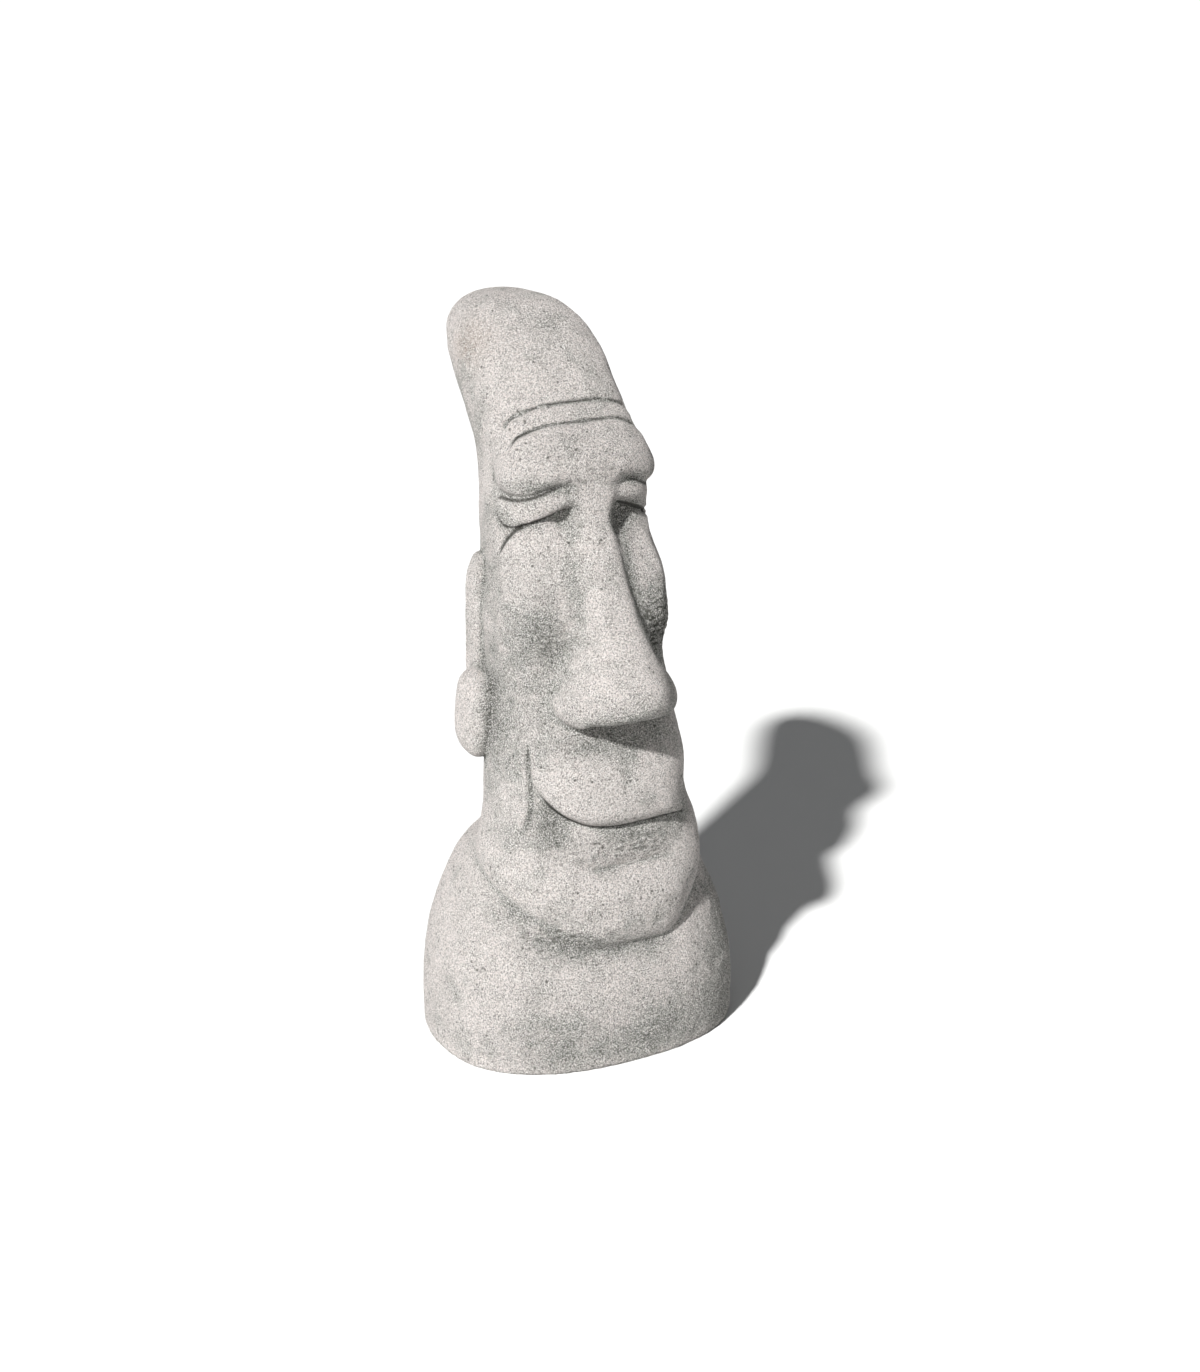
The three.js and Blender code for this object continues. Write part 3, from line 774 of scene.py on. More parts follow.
@dataclass(frozen=True)
class MoaiForm:
    """The statue's carved form as a field that is negative inside the stone.

    x is the distance from the middle plane, f grows toward the face and z is the height, all in
    millimetres. left is 0 in the statue's right half and 1 in its left half.
    """

    head: Head = Head()
    brow: Brow = Brow()
    cheek: Cheek = Cheek()
    cheek_join: Change = Change((36, 6), (520, 600))
    upper_lip: UpperLip = UpperLip()
    lip_join: Change = Change((1, 28), (320, 384))
    lip_edge_join: float = 3.0
    nose: Nose = Nose()
    nose_join: Change = Change((5, 14), (430, 475))
    eye: Eye = Eye()
    lower_face: LowerFace = LowerFace()
    lines: Lines = Lines()
    ear: Ear = Ear()
    bust: Bust = Bust()
    bust_join: Change = Change((3, 24), (-5, -75))
    foot_rounding: float = 10.0
    middle_strip: float = 40.0

    def placed(self, points: Array) -> tuple[Array, Array]:
        """Turns points into rows of x, f and z, and into left."""
        x, y, z = points.T
        return np.array([np.abs(x), -y, z]), smoothstep(-self.middle_strip, self.middle_strip, x)

    def at(self, points: Array) -> Array:
        """Gives the field at points.

        Args:
            points: Rows of x, y and z in millimetres, in the statue's own frame.

        Returns:
            The field's values, negative inside the stone.
        """
        p, left = self.placed(points)
        _, f, z = p
        d = self.brow.added(self.head.at(p), p)
        d = soft_union(d, self.cheek.at(p), self.cheek_join.at(z))
        lip = self.upper_lip.at(p, left)
        d = soft_union(d, lip, self.lip_join.at(z))
        d = soft_union(d, self.nose.at(p), self.nose_join.at(z))
        d = self.eye.added(d, p)
        d = soft_union(self.lower_face.added(d, p, left), lip, self.lip_edge_join)
        d = d - self.lines.height(self.head.around(p), z, left)
        d = soft_union(d, self.ear.at(p), self.ear.join)
        d = soft_union(d, self.bust.at(p), self.bust_join.at(f))
        return soft_cut(d, -z - self.foot_rounding / 4, self.foot_rounding)


@dataclass(frozen=True)
class Creases:
    """Where a thin dark line is painted, as shade with soiling: in the incised lines, the mouth and two
    folds.
    """

    form: MoaiForm = MoaiForm()
    mouth_width: float = 2.6
    mouth_front: Pair = (40, 60)
    mouth_ends: Pair = (104, 90)
    lid_width: float = 2.6
    lid_from: Pair = (672, 682)
    lid_ends: Pair = (30, 60)
    lobe_width: float = 3.0
    lobe_front: Pair = (-6, 4)
    lobe_share: float = 0.8

    def at(self, points: Array) -> Array:
        """Gives how near points lie to the bottom of a thin line.

        Args:
            points: Rows of x, y and z in millimetres, in the statue's own frame.

        Returns:
            1 in the middle of a line, or of the fold where an eyelid or an earlobe meets the
            head, and 0 away from them.
        """
        p, left = self.form.placed(points)
        x, f, z = p
        lines = self.form.lines.bottoms(self.form.head.around(p), z, left)
        above = z - self.form.upper_lip.mouth_line(x, left)
        mouth = np.exp(-((above / self.mouth_width) ** 2))
        mouth = mouth * smoothstep(*self.mouth_front, f) * smoothstep(*self.mouth_ends, x)
        head = self.form.brow.added(self.form.head.at(p), p)
        lid = np.exp(-(((head - self.form.eye.lid.at(p)) / self.lid_width) ** 2))
        lid = lid * smoothstep(*self.lid_from, z) * smoothstep(*self.lid_ends, x)
        lobe = np.exp(-(((head - self.form.ear.lobe.at(p)) / self.lobe_width) ** 2))
        lobe = lobe * smoothstep(*self.lobe_front, f) * self.lobe_share
        return np.max([*lines, mouth, lid, lobe], axis=0)


@dataclass(frozen=True)
class Roughening:
    """One layer of cloud-like unevenness in the cast skin, in metres."""

    name: str
    scale: float
    strength: float
    depth: int = 2
    mask: str = ""

    def apply(self, piece: bpy.types.Object) -> None:
        """Moves a piece's points in and out.

        Args:
            piece: The mesh object, active and in object mode.
        """
        texture = bpy.data.textures.new(self.name, "CLOUDS")
        texture.noise_scale = self.scale
        texture.noise_depth = self.depth
        modifier = piece.modifiers.new(self.name, "DISPLACE")
        modifier.texture = texture
        modifier.texture_coords = "LOCAL"
        modifier.mid_level = 0.5
        modifier.strength = self.strength
        if self.mask:
            modifier.vertex_group = self.mask
        bpy.ops.object.modifier_apply(modifier=modifier.name)


@dataclass(frozen=True)
class Zone:
    """A zone of the skin, in millimetres, whose strength fades from its centre."""

    centre: Triple
    radii: Triple
    strength: float

    def at(self, points: Array) -> Array:
        """Gives the zone's strength at points."""
        reach = sum(((points[:, n] - self.centre[n]) / self.radii[n]) ** 2 for n in range(3))
        return self.strength * np.exp(-reach)


def combined(zones: tuple[Zone, ...], points: Array) -> Array:
    """Gives the strength of several zones together at points."""
    return sum(zone.at(points) for zone in zones)


@dataclass(frozen=True)
class Wave:
    """A sine wave whose length is given over one radian, in millimetres."""

    strength: float
    length: float

    def at(self, place: Array, shift: Array | float = 0.0) -> Array:
        """Gives the wave's height at a distance along it."""
        return self.strength * np.sin(place / self.length + shift)


@dataclass(frozen=True)
class TrowelMarks:
    """Small level ripples that a trowel left in the hollows, in millimetres."""

    zones: tuple[Zone, ...] = (
        Zone((-84, -56, 536), (30, 44, 36), 0.45),
        Zone((76, -58, 516), (34, 50, 44), 1.5),
        Zone((0, -60, 716), (60, 40, 22), 0.5),
        Zone((-80, -124, 170), (60, 50, 16), 0.8),
        Zone((0, -110, 272), (70, 40, 16), 0.8),
    )
    ripple: Wave = Wave(1.0, 1.35)
    bend_across: Wave = Wave(1.6, 9.0)
    bend_swing: Wave = Wave(0.7, 13.0)
    bend_forward: Wave = Wave(1.2, 7.0)
    bend_climb: float = 31.0
    patch: Wave = Wave(1.0, 6.1)
    patch_depth: float = 8.3
    patch_swing: Wave = Wave(0.9, 6.0)

    def height(self, points: Array) -> Array:
        """Gives how far the ripples raise the skin.

        Args:
            points: Rows of x, y and z.

        Returns:
            A height for each point.
        """
        x, y, z = points.T
        bend = self.bend_across.at(x, self.bend_swing.at(z))
        bend = bend + self.bend_forward.at(y, z / self.bend_climb)
        patches = self.patch.at(x, y / self.patch_depth + self.patch_swing.at(z))
        return self.ripple.at(z, bend) * patches * combined(self.zones, points)


class Operation(Enum):
    """What a Math node does with its two inputs."""

    ADD = "ADD"
    SUBTRACT = "SUBTRACT"
    MULTIPLY = "MULTIPLY"


class Value:
    """A shader socket on which arithmetic is written as on a number."""

    def __init__(self, graph: Graph, socket: bpy.types.NodeSocket) -> None:
        """Wraps an output socket."""
        self.graph = graph
        self.socket = socket

    def _maths(self, operation: Operation, *inputs: Value | float) -> Value:
        """Adds a Math node."""
        return self.graph.add("ShaderNodeMath", {"operation": operation.value}, dict(enumerate(inputs)))

    def __add__(self, other: Value | float) -> Value:
        """Adds."""
        return self._maths(Operation.ADD, self, other)

    def __sub__(self, other: Value | float) -> Value:
        """Subtracts."""
        return self._maths(Operation.SUBTRACT, self, other)

    def __mul__(self, other: Value | float) -> Value:
        """Multiplies."""
        return self._maths(Operation.MULTIPLY, self, other)

    def ramp(self, start: float, end: float) -> Value:
        """Rises smoothly from 0 at start to 1 at end."""
        inputs = {"Value": self, "From Min": start, "From Max": end, "To Min": 0.0, "To Max": 1.0}
        return self.graph.add("ShaderNodeMapRange", {"interpolation_type": "SMOOTHSTEP"}, inputs)


@dataclass(frozen=True)
class Noise:
    """The scale, detail and roughness of a noise pattern."""

    scale: float
    detail: float
    roughness: float


class Graph:
    """A material's node tree, built by short calls."""

    # The colour sockets of a Mix node, whose names its other kinds share.
    mix_share = 0
    mix_low = 6
    mix_high = 7
    mix_colour = 2

    def __init__(self, material: bpy.types.Material) -> None:
        """Starts an empty tree with an output.

        Args:
            material: The material that the tree belongs to.
        """
        material.use_nodes = True
        self.tree = material.node_tree
        self.tree.nodes.clear()
        self.output = self.tree.nodes.new("ShaderNodeOutputMaterial")

    def add(self, kind: str, settings: dict, inputs: dict, output: str | int = 0) -> Value:
        """Adds a node.

        Args:
            kind: The node's type.
            settings: Its own settings, set before its sockets.
            inputs: Numbers, colours or links by socket name or index.
            output: The name or index of the output to give back.

        Returns:
            That output.
        """
        node = self.tree.nodes.new(kind)
        for name, value in settings.items():
            setattr(node, name, value)
        for name, value in inputs.items():
            if isinstance(value, Value):
                self.tree.links.new(value.socket, node.inputs[name])
            else:
                node.inputs[name].default_value = value
        return Value(self, node.outputs[output])

    def noise(self, place: Value, pattern: Noise) -> Value:
        """Adds a noise pattern."""
        inputs = {"Scale": pattern.scale, "Detail": pattern.detail, "Roughness": pattern.roughness}
        return self.add("ShaderNodeTexNoise", {}, {"Vector": place, **inputs}, "Fac")

    def cells(self, place: Value, scale: float) -> Value:
        """Adds a pattern of cells, by the distance from their middles."""
        inputs = {"Vector": place, "Scale": scale}
        return self.add("ShaderNodeTexVoronoi", {"feature": "F1"}, inputs, "Distance")

    def blend(self, share: Value, low: Value | tuple, high: Value | tuple) -> Value:
        """Mixes two colours.

        Args:
            share: How much of the second one shows.
            low: The first colour.
            high: The second colour.

        Returns:
            The mixed colour.
        """
        inputs = {self.mix_share: share, self.mix_low: low, self.mix_high: high}
        settings = {"data_type": "RGBA", "clamp_factor": True}
        return self.add("ShaderNodeMix", settings, inputs, self.mix_colour)

    def attribute(self, name: str) -> Value:
        """Reads a value stored on the mesh."""
        return self.add("ShaderNodeAttribute", {"attribute_name": name}, {}, "Fac")

    def surface(self, inputs: dict) -> None:
        """Adds a Principled shader and joins it to the output."""
        shader = self.add("ShaderNodeBsdfPrincipled", {}, inputs)
        self.tree.links.new(shader.socket, self.output.inputs["Surface"])


def colour(red: int, green: int, blue: int) -> Colour:
    """Turns a screen colour of 0 to 255 into Blender's linear colour."""
    return (*((value / 255.0) ** 2.2 for value in (red, green, blue)), 1.0)


@dataclass(frozen=True)
class CastStone:
    """Pale grey cast stone, grainy and pitted, dark where it stays damp, and painted darker where shade
    falls in recesses, creases and under overhangs.

    A pair is where a tone starts to show in its pattern and where it shows in full.
    """

    glint: Colour = colour(249, 245, 241)
    pale: Colour = colour(237, 227, 222)
    grey: Colour = colour(175, 169, 165)
    # The grey-green of patina, also used as painted shade.
    patina_and_shade: Colour = colour(136, 138, 131)
    # Dark dirt, also used as the deepest painted shade.
    dirt_and_shade: Colour = colour(84, 84, 77)
    # Near black, painted as shade and dirt in creases.
    line: Colour = colour(56, 55, 49)
    rust: Colour = colour(150, 122, 100)
    roughness: float = 0.93
    specular: float = 0.3
    grain: Noise = Noise(390, 4, 0.75)
    speck: Noise = Noise(700, 3, 0.8)
    cloud: Noise = Noise(38, 4, 0.65)
    blotch: Noise = Noise(11, 4, 0.6)
    streak: Noise = Noise(75, 3, 0.6)
    streak_stretch: Triple = (1.0, 1.0, 2.8)
    pit_scale: float = 95.0
    pit_edge: Pair = (0.2, 0.1)
    pit_patches: Pair = (0.46, 0.58)
    pit_share: float = 0.8
    even_coarseness: float = 0.75
    coarse_share: float = 0.4
    recess_share: float = 0.9
    grime_and_shade_share: float = 0.9
    blotch_share: float = 2.4
    cloud_share: float = 2.2
    ragged_share: float = 3.0
    pale_range: Pair = (0.42, 0.56)
    rust_share: float = 0.7
    patina_and_shade_range: Pair = (-0.15, 0.95)
    patina_and_shade_share: float = 0.85
    dirt_and_shade_range: Pair = (0.8, 1.9)
    dirt_and_shade_share: float = 0.8
    glint_range: Pair = (0.51, 0.57)
    glint_share: float = 0.95
    fleck_range: Pair = (0.46, 0.39)
    fleck_cover_and_shade: float = 0.3
    streak_range: Pair = (0.5, 0.38)
    line_range: Pair = (0.4, 0.95)
    line_share: float = 0.55
    line_cloud: float = 0.6
    speck_relief: float = 0.4
    cloud_relief: float = 0.5
    pit_relief: float = 0.3
    streak_relief: float = 1.6
    relief: float = 10.0 * MM

    def material(self) -> bpy.types.Material:
        """Builds the material.

        Returns:
            The new material.
        """
        material = bpy.data.materials.new("weathered_cast_stone_with_painted_shade")
        graph = Graph(material)
        place = graph.add("ShaderNodeTexCoord", {}, {}, "Object")
        level = graph.add("ShaderNodeMapping", {}, {"Vector": place, "Scale": self.streak_stretch})
        grain, speck = graph.noise(place, self.grain), graph.noise(place, self.speck)
        cloud, blotch = graph.noise(place, self.cloud), graph.noise(place, self.blotch)
        pits = graph.cells(place, self.pit_scale).ramp(*self.pit_edge) * cloud.ramp(*self.pit_patches)
        streak, rippled = graph.noise(level, self.streak), graph.attribute("rippled")
        coarse = graph.attribute("coarse") * self.coarse_share + self.even_coarseness
        # Dirt and painted shade together: darker in recesses and in the shade zones, with random blotches.
        cover_and_shade = graph.attribute("recess") * self.recess_share + graph.attribute("grime_and_shade") * self.grime_and_shade_share
        cover_and_shade = cover_and_shade + (blotch - 0.5) * self.blotch_share + (cloud - 0.5) * self.cloud_share
        ragged = cover_and_shade + (grain - 0.5) * self.ragged_share
        # Painted shade and dirt along the creases.
        line = graph.attribute("crease").ramp(*self.line_range) * (cloud * self.line_cloud + self.line_share)
        tone = graph.blend(grain.ramp(*self.pale_range), self.grey, self.pale)
        tone = graph.blend(graph.attribute("rust") * self.rust_share, tone, self.rust)
        # Patina and painted shade: grey-green where blotches, recesses and shade zones fall.
        tone = graph.blend(ragged.ramp(*self.patina_and_shade_range) * self.patina_and_shade_share, tone, self.patina_and_shade)
        # The darkest dirt and painted shade.
        tone = graph.blend(ragged.ramp(*self.dirt_and_shade_range) * self.dirt_and_shade_share, tone, self.dirt_and_shade)
        tone = graph.blend(speck.ramp(*self.glint_range) * self.glint_share, tone, self.glint)
        # Dark flecks, thicker in coarse zones, in dirt and in painted shade.
        fleck = speck.ramp(*self.fleck_range) * (coarse + cover_and_shade * self.fleck_cover_and_shade)
        tone = graph.blend(fleck, tone, self.dirt_and_shade)
        tone = graph.blend(pits * self.pit_share, tone, self.dirt_and_shade)
        tone = graph.blend(streak.ramp(*self.streak_range) * rippled, tone, self.dirt_and_shade)
        tone = graph.blend(line, tone, self.line)
        height = (grain + speck * self.speck_relief) * coarse + cloud * self.cloud_relief
        height = height - pits * self.pit_relief + streak * rippled * self.streak_relief
        relief = {"Strength": 1.0, "Distance": self.relief, "Height": height}
        bump = graph.add("ShaderNodeBump", {}, relief)
        finish = {"Roughness": self.roughness, "Specular IOR Level": self.specular}
        graph.surface({"Base Color": tone, "Normal": bump, **finish})
        return material


@dataclass
class Statue:
    """The moai's visible skin."""

    voxel: float = 2.6 * MM
    triangles: int = 196_000
    merging: float = 1e-5
    form: MoaiForm = MoaiForm()
    creases: Creases = Creases()
    stone: CastStone = CastStone()
    trowel: TrowelMarks = TrowelMarks()
    pull_rounds: int = 4
    pull_step: float = 0.3
    pull_limit: float = 2.5
    least_slope: float = 0.25
    standing_from: float = 0.6
    level_below: float = 0.9
    layers: tuple[Roughening, ...] = (
        Roughening("hand_worked_swelling", 0.085, 3.2 * MM, 1),
        Roughening("cast_swelling", 0.028, 2.0 * MM, 2),
        Roughening("pitted_skin", 0.010, 2.4 * MM, 2, "rough"),
    )
    rough_levels: int = 10
    # Zones of dirt and patina, and zones of painted shade under the brows, lids, nose, lips and jaw, in the
    # eye sockets and on far sides.
    stains_and_shade: tuple[Zone, ...] = (
        Zone((-66, -34, 699), (34, 26, 10), 1.1),
        Zone((66, -34, 699), (34, 26, 10), 1.1),
        Zone((-80, -14, 652), (36, 26, 7), 0.7),
        Zone((-30, -48, 670), (18, 18, 18), 0.7),
        Zone((46, -38, 656), (32, 28, 18), 2.8),
        Zone((-86, -52, 536), (26, 34, 32), 0.8),
        Zone((-68, -66, 516), (18, 24, 18), 0.4),
        Zone((78, -54, 520), (28, 36, 50), 2.6),
        Zone((38, -90, 530), (12, 40, 80), 0.9),
        Zone((40, -60, 610), (10, 30, 50), 0.9),
        Zone((-98, -20, 440), (26, 60, 120), 0.75),
        Zone((-38, -64, 580), (12, 20, 60), 0.4),
        Zone((0, -116, 408), (90, 46, 18), 0.5),
        Zone((-60, -100, 404), (32, 34, 14), 0.7),
        Zone((0, -150, 436), (80, 60, 28), 1.4),
        Zone((0, -122, 385), (30, 20, 26), 0.4),
        Zone((-88, -84, 305), (28, 34, 30), 0.9),
        Zone((88, -84, 305), (28, 34, 30), 0.8),
        Zone((0, -114, 282), (80, 30, 12), 0.85),
        Zone((0, -114, 262), (66, 30, 10), 0.7),
        Zone((-80, -104, 196), (60, 50, 24), 0.5),
        Zone((30, -138, 190), (50, 30, 26), 0.35),
        Zone((-75, -124, 163), (60, 36, 14), 1.2),
        Zone((-112, 4, 410), (12, 30, 52), 1.1),
        Zone((118, 10, 410), (18, 30, 60), 0.6),
        Zone((-104, 34, 600), (16, 40, 110), 0.5),
        Zone((104, 34, 600), (16, 40, 110), 0.5),
        Zone((0, -150, 30), (170, 90, 34), 1.35),
        Zone((150, -40, 80), (60, 90, 90), 1.4),
        Zone((-40, -130, 148), (60, 40, 14), 0.5),
        Zone((-80, 80, 770), (30, 60, 50), 0.4),
        Zone((0, 160, 700), (90, 50, 120), 0.35),
    )
    coarse: tuple[Zone, ...] = (
        Zone((0, -40, 722), (120, 60, 44), 0.4),
        Zone((0, -60, 60), (240, 180, 80), 0.7),
        Zone((0, -60, 210), (120, 120, 40), 0.35),
    )
    least_coarse: float = 0.1
    rust: Zone = Zone((-80, 120, 842), (30, 34, 26), 0.8)
    fine_rounds: int = 5
    fine_depth: float = 1.0 * MM
    fine_share: float = 0.8
    broad_rounds: int = 50
    broad_depth: float = 5.0 * MM
    # How much lighter the ridges are painted.
    ridge_share: float = 0.25

    def copied_solid(self, node: bpy.types.Object) -> bpy.types.Object:
        """Makes a merged copy of the statue's solid, remeshed finely and evenly.

        Args:
            node: The statue's node of the frame.

        Returns:
            The new object.
        """
        mesh = node.data.copy()
        mesh.materials.clear()
        piece = bpy.data.objects.new("moai_skin", mesh)
        bpy.context.collection.objects.link(piece)
        bpy.ops.object.select_all(action="DESELECT")
        piece.select_set(True)
        bpy.context.view_layer.objects.active = piece
        bpy.ops.object.mode_set(mode="EDIT")
        bpy.ops.mesh.select_all(action="SELECT")
        bpy.ops.mesh.remove_doubles(threshold=self.merging)
        bpy.ops.object.mode_set(mode="OBJECT")
        remesh = piece.modifiers.new("fine_skin", "REMESH")
        remesh.mode = "VOXEL"
        remesh.voxel_size = self.voxel
        bpy.ops.object.modifier_apply(modifier=remesh.name)
        return piece

    def draw_onto_form(self, piece: bpy.types.Object) -> None:
        """Moves the skin's points onto the carved form, and keeps the underside level.

        Args:
            piece: The skin.
        """
        points = self.points(piece) / MM
        standing = points[:, 2] > self.standing_from
        moved = points[standing]
        steps = self.pull_step * np.eye(3)
        for _ in range(self.pull_rounds):
            value = self.form.at(moved)
            slope = np.stack([self.form.at(moved + step) - value for step in steps], axis=1) / self.pull_step
            pull = value / np.maximum((slope**2).sum(axis=1), self.least_slope)
            moved = moved - slope * np.clip(pull, -self.pull_limit, self.pull_limit)[:, None]
        points[standing] = moved
        points[:, 2] = np.where(points[:, 2] < self.level_below, 0.0, points[:, 2])
        self.put(piece, points * MM)

    def thin(self, piece: bpy.types.Object) -> None:
        """Takes triangles away where the skin is smooth, so that more are left for its lines.

        Args:
            piece: The skin.
        """
        count = sum(len(polygon.vertices) - 2 for polygon in piece.data.polygons)
        modifier = piece.modifiers.new("thinned_skin", "DECIMATE")
        modifier.ratio = min(1.0, self.triangles / count)
        bpy.ops.object.modifier_apply(modifier=modifier.name)

    def roughen(self, piece: bpy.types.Object) -> None:
        """Gives the skin its unevenness, more of it where the casting is rough.

        Args:
            piece: The skin.
        """
        points = self.points(piece) / MM
        rough = np.round(self.coarseness(points) * self.rough_levels)
        group = piece.vertex_groups.new(name="rough")
        for level in range(1, self.rough_levels + 1):
            chosen = np.nonzero(rough == level)[0]
            group.add(chosen.tolist(), level / self.rough_levels, "REPLACE")
        for layer in self.layers:
            layer.apply(piece)
        ripples = self.normals(piece) * self.trowel.height(points)[:, None]
        settled = self.points(piece) + ripples * MM
        settled[points[:, 2] <= 0.0, 2] = 0.0
        settled[:, 2] = np.maximum(settled[:, 2], 0.0)
        self.put(piece, settled)

    def coarseness(self, points: Array) -> Array:
        """Gives how coarse the casting is at points in millimetres, from 0 to 1, raised too where shade is
        painted.
        """
        rough = self.least_coarse + combined(self.stains_and_shade, points) + combined(self.coarse, points)
        return np.clip(rough, 0.0, 1.0)

    def store_weathering_and_shade(self, piece: bpy.types.Object) -> None:
        """Stores on the skin's points how deep they lie in recesses, how weathered they are and where shade
        is painted.

        Args:
            piece: The skin.
        """
        points, normals = self.points(piece), self.normals(piece)
        edges = np.empty(len(piece.data.edges) * 2, dtype=np.int32)
        piece.data.edges.foreach_get("vertices", edges)
        pairs = edges.reshape(-1, 2)
        fine = self.sunk(points, normals, pairs, self.fine_rounds) / self.fine_depth
        broad = self.sunk(points, normals, pairs, self.broad_rounds) / self.broad_depth
        places = points / MM
        stored = {
            # Painted shade in hollows and creases, along with the dirt there; ridges come out painted
            # lighter.
            "recess": np.clip(self.fine_share * fine, 0, 1) + np.clip(broad, -self.ridge_share, 1),
            # The stains together with the zones of painted shade.
            "grime_and_shade": combined(self.stains_and_shade, places),
            "rust": self.rust.at(places),
            "rippled": np.clip(combined(self.trowel.zones, places), 0.0, 1.0),
            # Painted shade and dirt in the creases.
            "crease": self.creases.at(places),
            "coarse": self.coarseness(places),
        }
        for name, values in stored.items():
            attribute = piece.data.attributes.new(name, "FLOAT", "POINT")
            attribute.data.foreach_set("value", values.astype(np.float32))

    @staticmethod
    def sunk(points: Array, normals: Array, pairs: Array, rounds: int) -> Array:
        """Measures how far points lie below their smoothed surroundings.

        Args:
            points: The mesh's points.
            normals: Their normals.
            pairs: The two points of each edge.
            rounds: How many times the surroundings are averaged.

        Returns:
            Depths in metres, negative on ridges.
        """
        count = np.bincount(pairs.ravel(), minlength=len(points))[:, None]
        smooth = points.copy()
        for _ in range(rounds):
            around = np.stack(
                [
                    np.bincount(pairs[:, 0], smooth[pairs[:, 1], n], len(points))
                    + np.bincount(pairs[:, 1], smooth[pairs[:, 0], n], len(points))
                    for n in range(3)
                ],
                axis=1,
            )
            smooth = 0.5 * smooth + 0.5 * around / count
        return ((smooth - points) * normals).sum(axis=1)

    @staticmethod
    def read(piece: bpy.types.Object, name: str) -> Array:
        """Reads three numbers of each of a mesh's points, as rows.

        Args:
            piece: The mesh object.
            name: What to read, by Blender's name.

        Returns:
            A row for each point.
        """
        flat = np.empty(len(piece.data.vertices) * 3)
        piece.data.vertices.foreach_get(name, flat)
        return flat.reshape(-1, 3)

    def points(self, piece: bpy.types.Object) -> Array:
        """Reads a mesh's points."""
        return self.read(piece, "co")

    def normals(self, piece: bpy.types.Object) -> Array:
        """Reads a mesh's normals."""
        return self.read(piece, "normal")

    @staticmethod
    def put(piece: bpy.types.Object, points: Array) -> None:
        """Writes a mesh's points."""
        piece.data.vertices.foreach_set("co", points.astype(np.float32).ravel())
        piece.data.update()

    def build(self, node: bpy.types.Object) -> bpy.types.Object:
        """Builds the skin over the statue's solid.

        Args:
            node: The statue's node of the frame.

        Returns:
            The finished piece.
        """
        piece = self.copied_solid(node)
        self.draw_onto_form(piece)
        self.thin(piece)
        self.roughen(piece)
        self.store_weathering_and_shade(piece)
        bpy.ops.object.shade_smooth()
        piece.data.materials.append(self.stone.material())
        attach(piece, BODY)
        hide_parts(STATUE_NODE)
        return piece


@dataclass(frozen=True)
class Sun:
    """An even, soft light from far away, with its angles in degrees.

    Its azimuth runs from the front toward the statue's right, and its softness is the angle that
    its disc fills.
    """

    name: str
    azimuth: float
    elevation: float
    softness: float
    power: float
    distance: float = 4.0

    def build(self) -> None:
        """Adds the light."""
        data = bpy.data.lights.new(self.name, "SUN")
        data.angle = math.radians(self.softness)
        data.energy = self.power
        lamp = bpy.data.objects.new(self.name, data)
        bpy.context.collection.objects.link(lamp)
        turn, rise = math.radians(self.azimuth), math.radians(self.elevation)
        level = math.cos(rise)
        toward = Vector((-math.sin(turn) * level, -math.cos(turn) * level, math.sin(rise)))
        lamp.location = toward * self.distance
        lamp.rotation_euler = toward.to_track_quat("Z", "Y").to_euler()


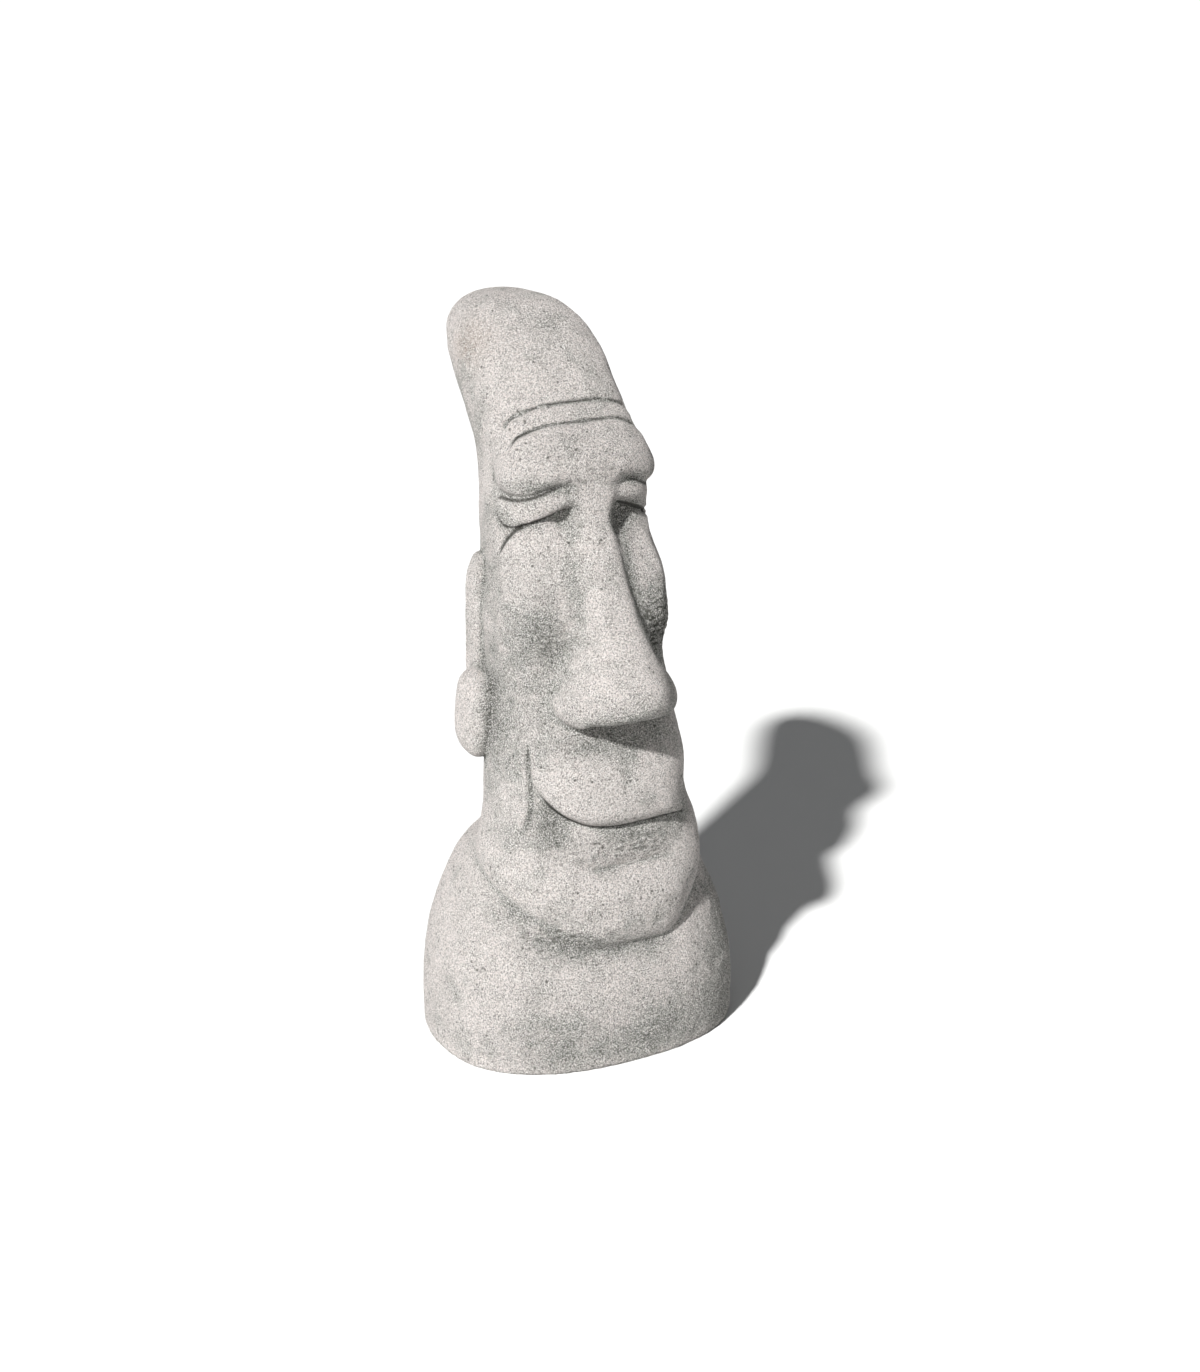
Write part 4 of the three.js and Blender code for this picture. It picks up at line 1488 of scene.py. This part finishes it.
@dataclass
class Studio:
    """A plain pale floor and soft light, seen as the photograph sees the statue."""

    azimuth: float = 30.0
    distance: float = 2.8
    height: float = 1.39
    pitch: float = 18.8
    aside: float = 0.027
    focal_pixels: float = 2444.0
    frame_pixels: float = 1372.0
    sensor: float = 36.0
    floor_size: float = 90.0
    floor_drop: float = 0.2 * MM
    floor_colour: Colour = (0.72, 0.72, 0.71, 1.0)
    floor_roughness: float = 0.9
    suns: tuple[Sun, ...] = (
        Sun("key_light", 57.0, 40.0, 3.0, 7.0),
        Sun("fill_light", 0.0, 35.0, 90.0, 0.25),
    )
    sky_colour: Colour = (0.95, 0.97, 1.0, 1.0)
    sky_strength: float = 0.15

    def camera(self) -> None:
        """Adds the camera at the photograph's place."""
        data = bpy.data.cameras.new("photograph_view")
        data.sensor_width = self.sensor
        data.lens = self.sensor * self.focal_pixels / self.frame_pixels
        camera = bpy.data.objects.new("photograph_view", data)
        bpy.context.collection.objects.link(camera)
        turn = math.radians(self.azimuth)
        right = Vector((math.cos(turn), -math.sin(turn), 0.0))
        back = Vector((-math.sin(turn), -math.cos(turn), 0.0))
        place = back * self.distance + right * self.aside
        camera.matrix_world = (
            Matrix.Translation((place.x, place.y, self.height))
            @ Matrix.Rotation(-turn, 4, "Z")
            @ Matrix.Rotation(math.radians(90.0 - self.pitch), 4, "X")
        )
        bpy.context.scene.camera = camera

    def floor(self) -> None:
        """Adds the pale floor that the statue stands on."""
        bpy.ops.object.select_all(action="DESELECT")
        place = (0.0, 0.0, -self.floor_drop)
        bpy.ops.mesh.primitive_plane_add(size=self.floor_size, location=place)
        floor = bpy.context.active_object
        floor.name = "studio_floor"
        bpy.ops.object.transform_apply(location=True, rotation=True, scale=True)
        material = bpy.data.materials.new("pale_floor")
        Graph(material).surface({"Base Color": self.floor_colour, "Roughness": self.floor_roughness})
        floor.data.materials.append(material)

    def sky(self) -> None:
        """Gives the surroundings a faint, even light."""
        world = bpy.data.worlds.new("pale_surroundings")
        world.use_nodes = True
        background = world.node_tree.nodes["Background"]
        background.inputs["Color"].default_value = self.sky_colour
        background.inputs["Strength"].default_value = self.sky_strength
        bpy.context.scene.world = world
        bpy.context.scene.view_settings.view_transform = "Standard"

    def build(self) -> None:
        """Builds the camera, the floor, the lights and the pale surroundings."""
        self.camera()
        self.floor()
        for sun in self.suns:
            sun.build()
        self.sky()


def main() -> None:
    logging.basicConfig(level=logging.INFO, format="%(name)s: %(message)s")
    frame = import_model()
    Studio().build()
    statue = Statue()
    piece = statue.build(frame["nodes"][STATUE_NODE])
    LOG.info("%s: %d points", piece.name, len(piece.data.vertices))


if __name__ == "__main__":
    main()
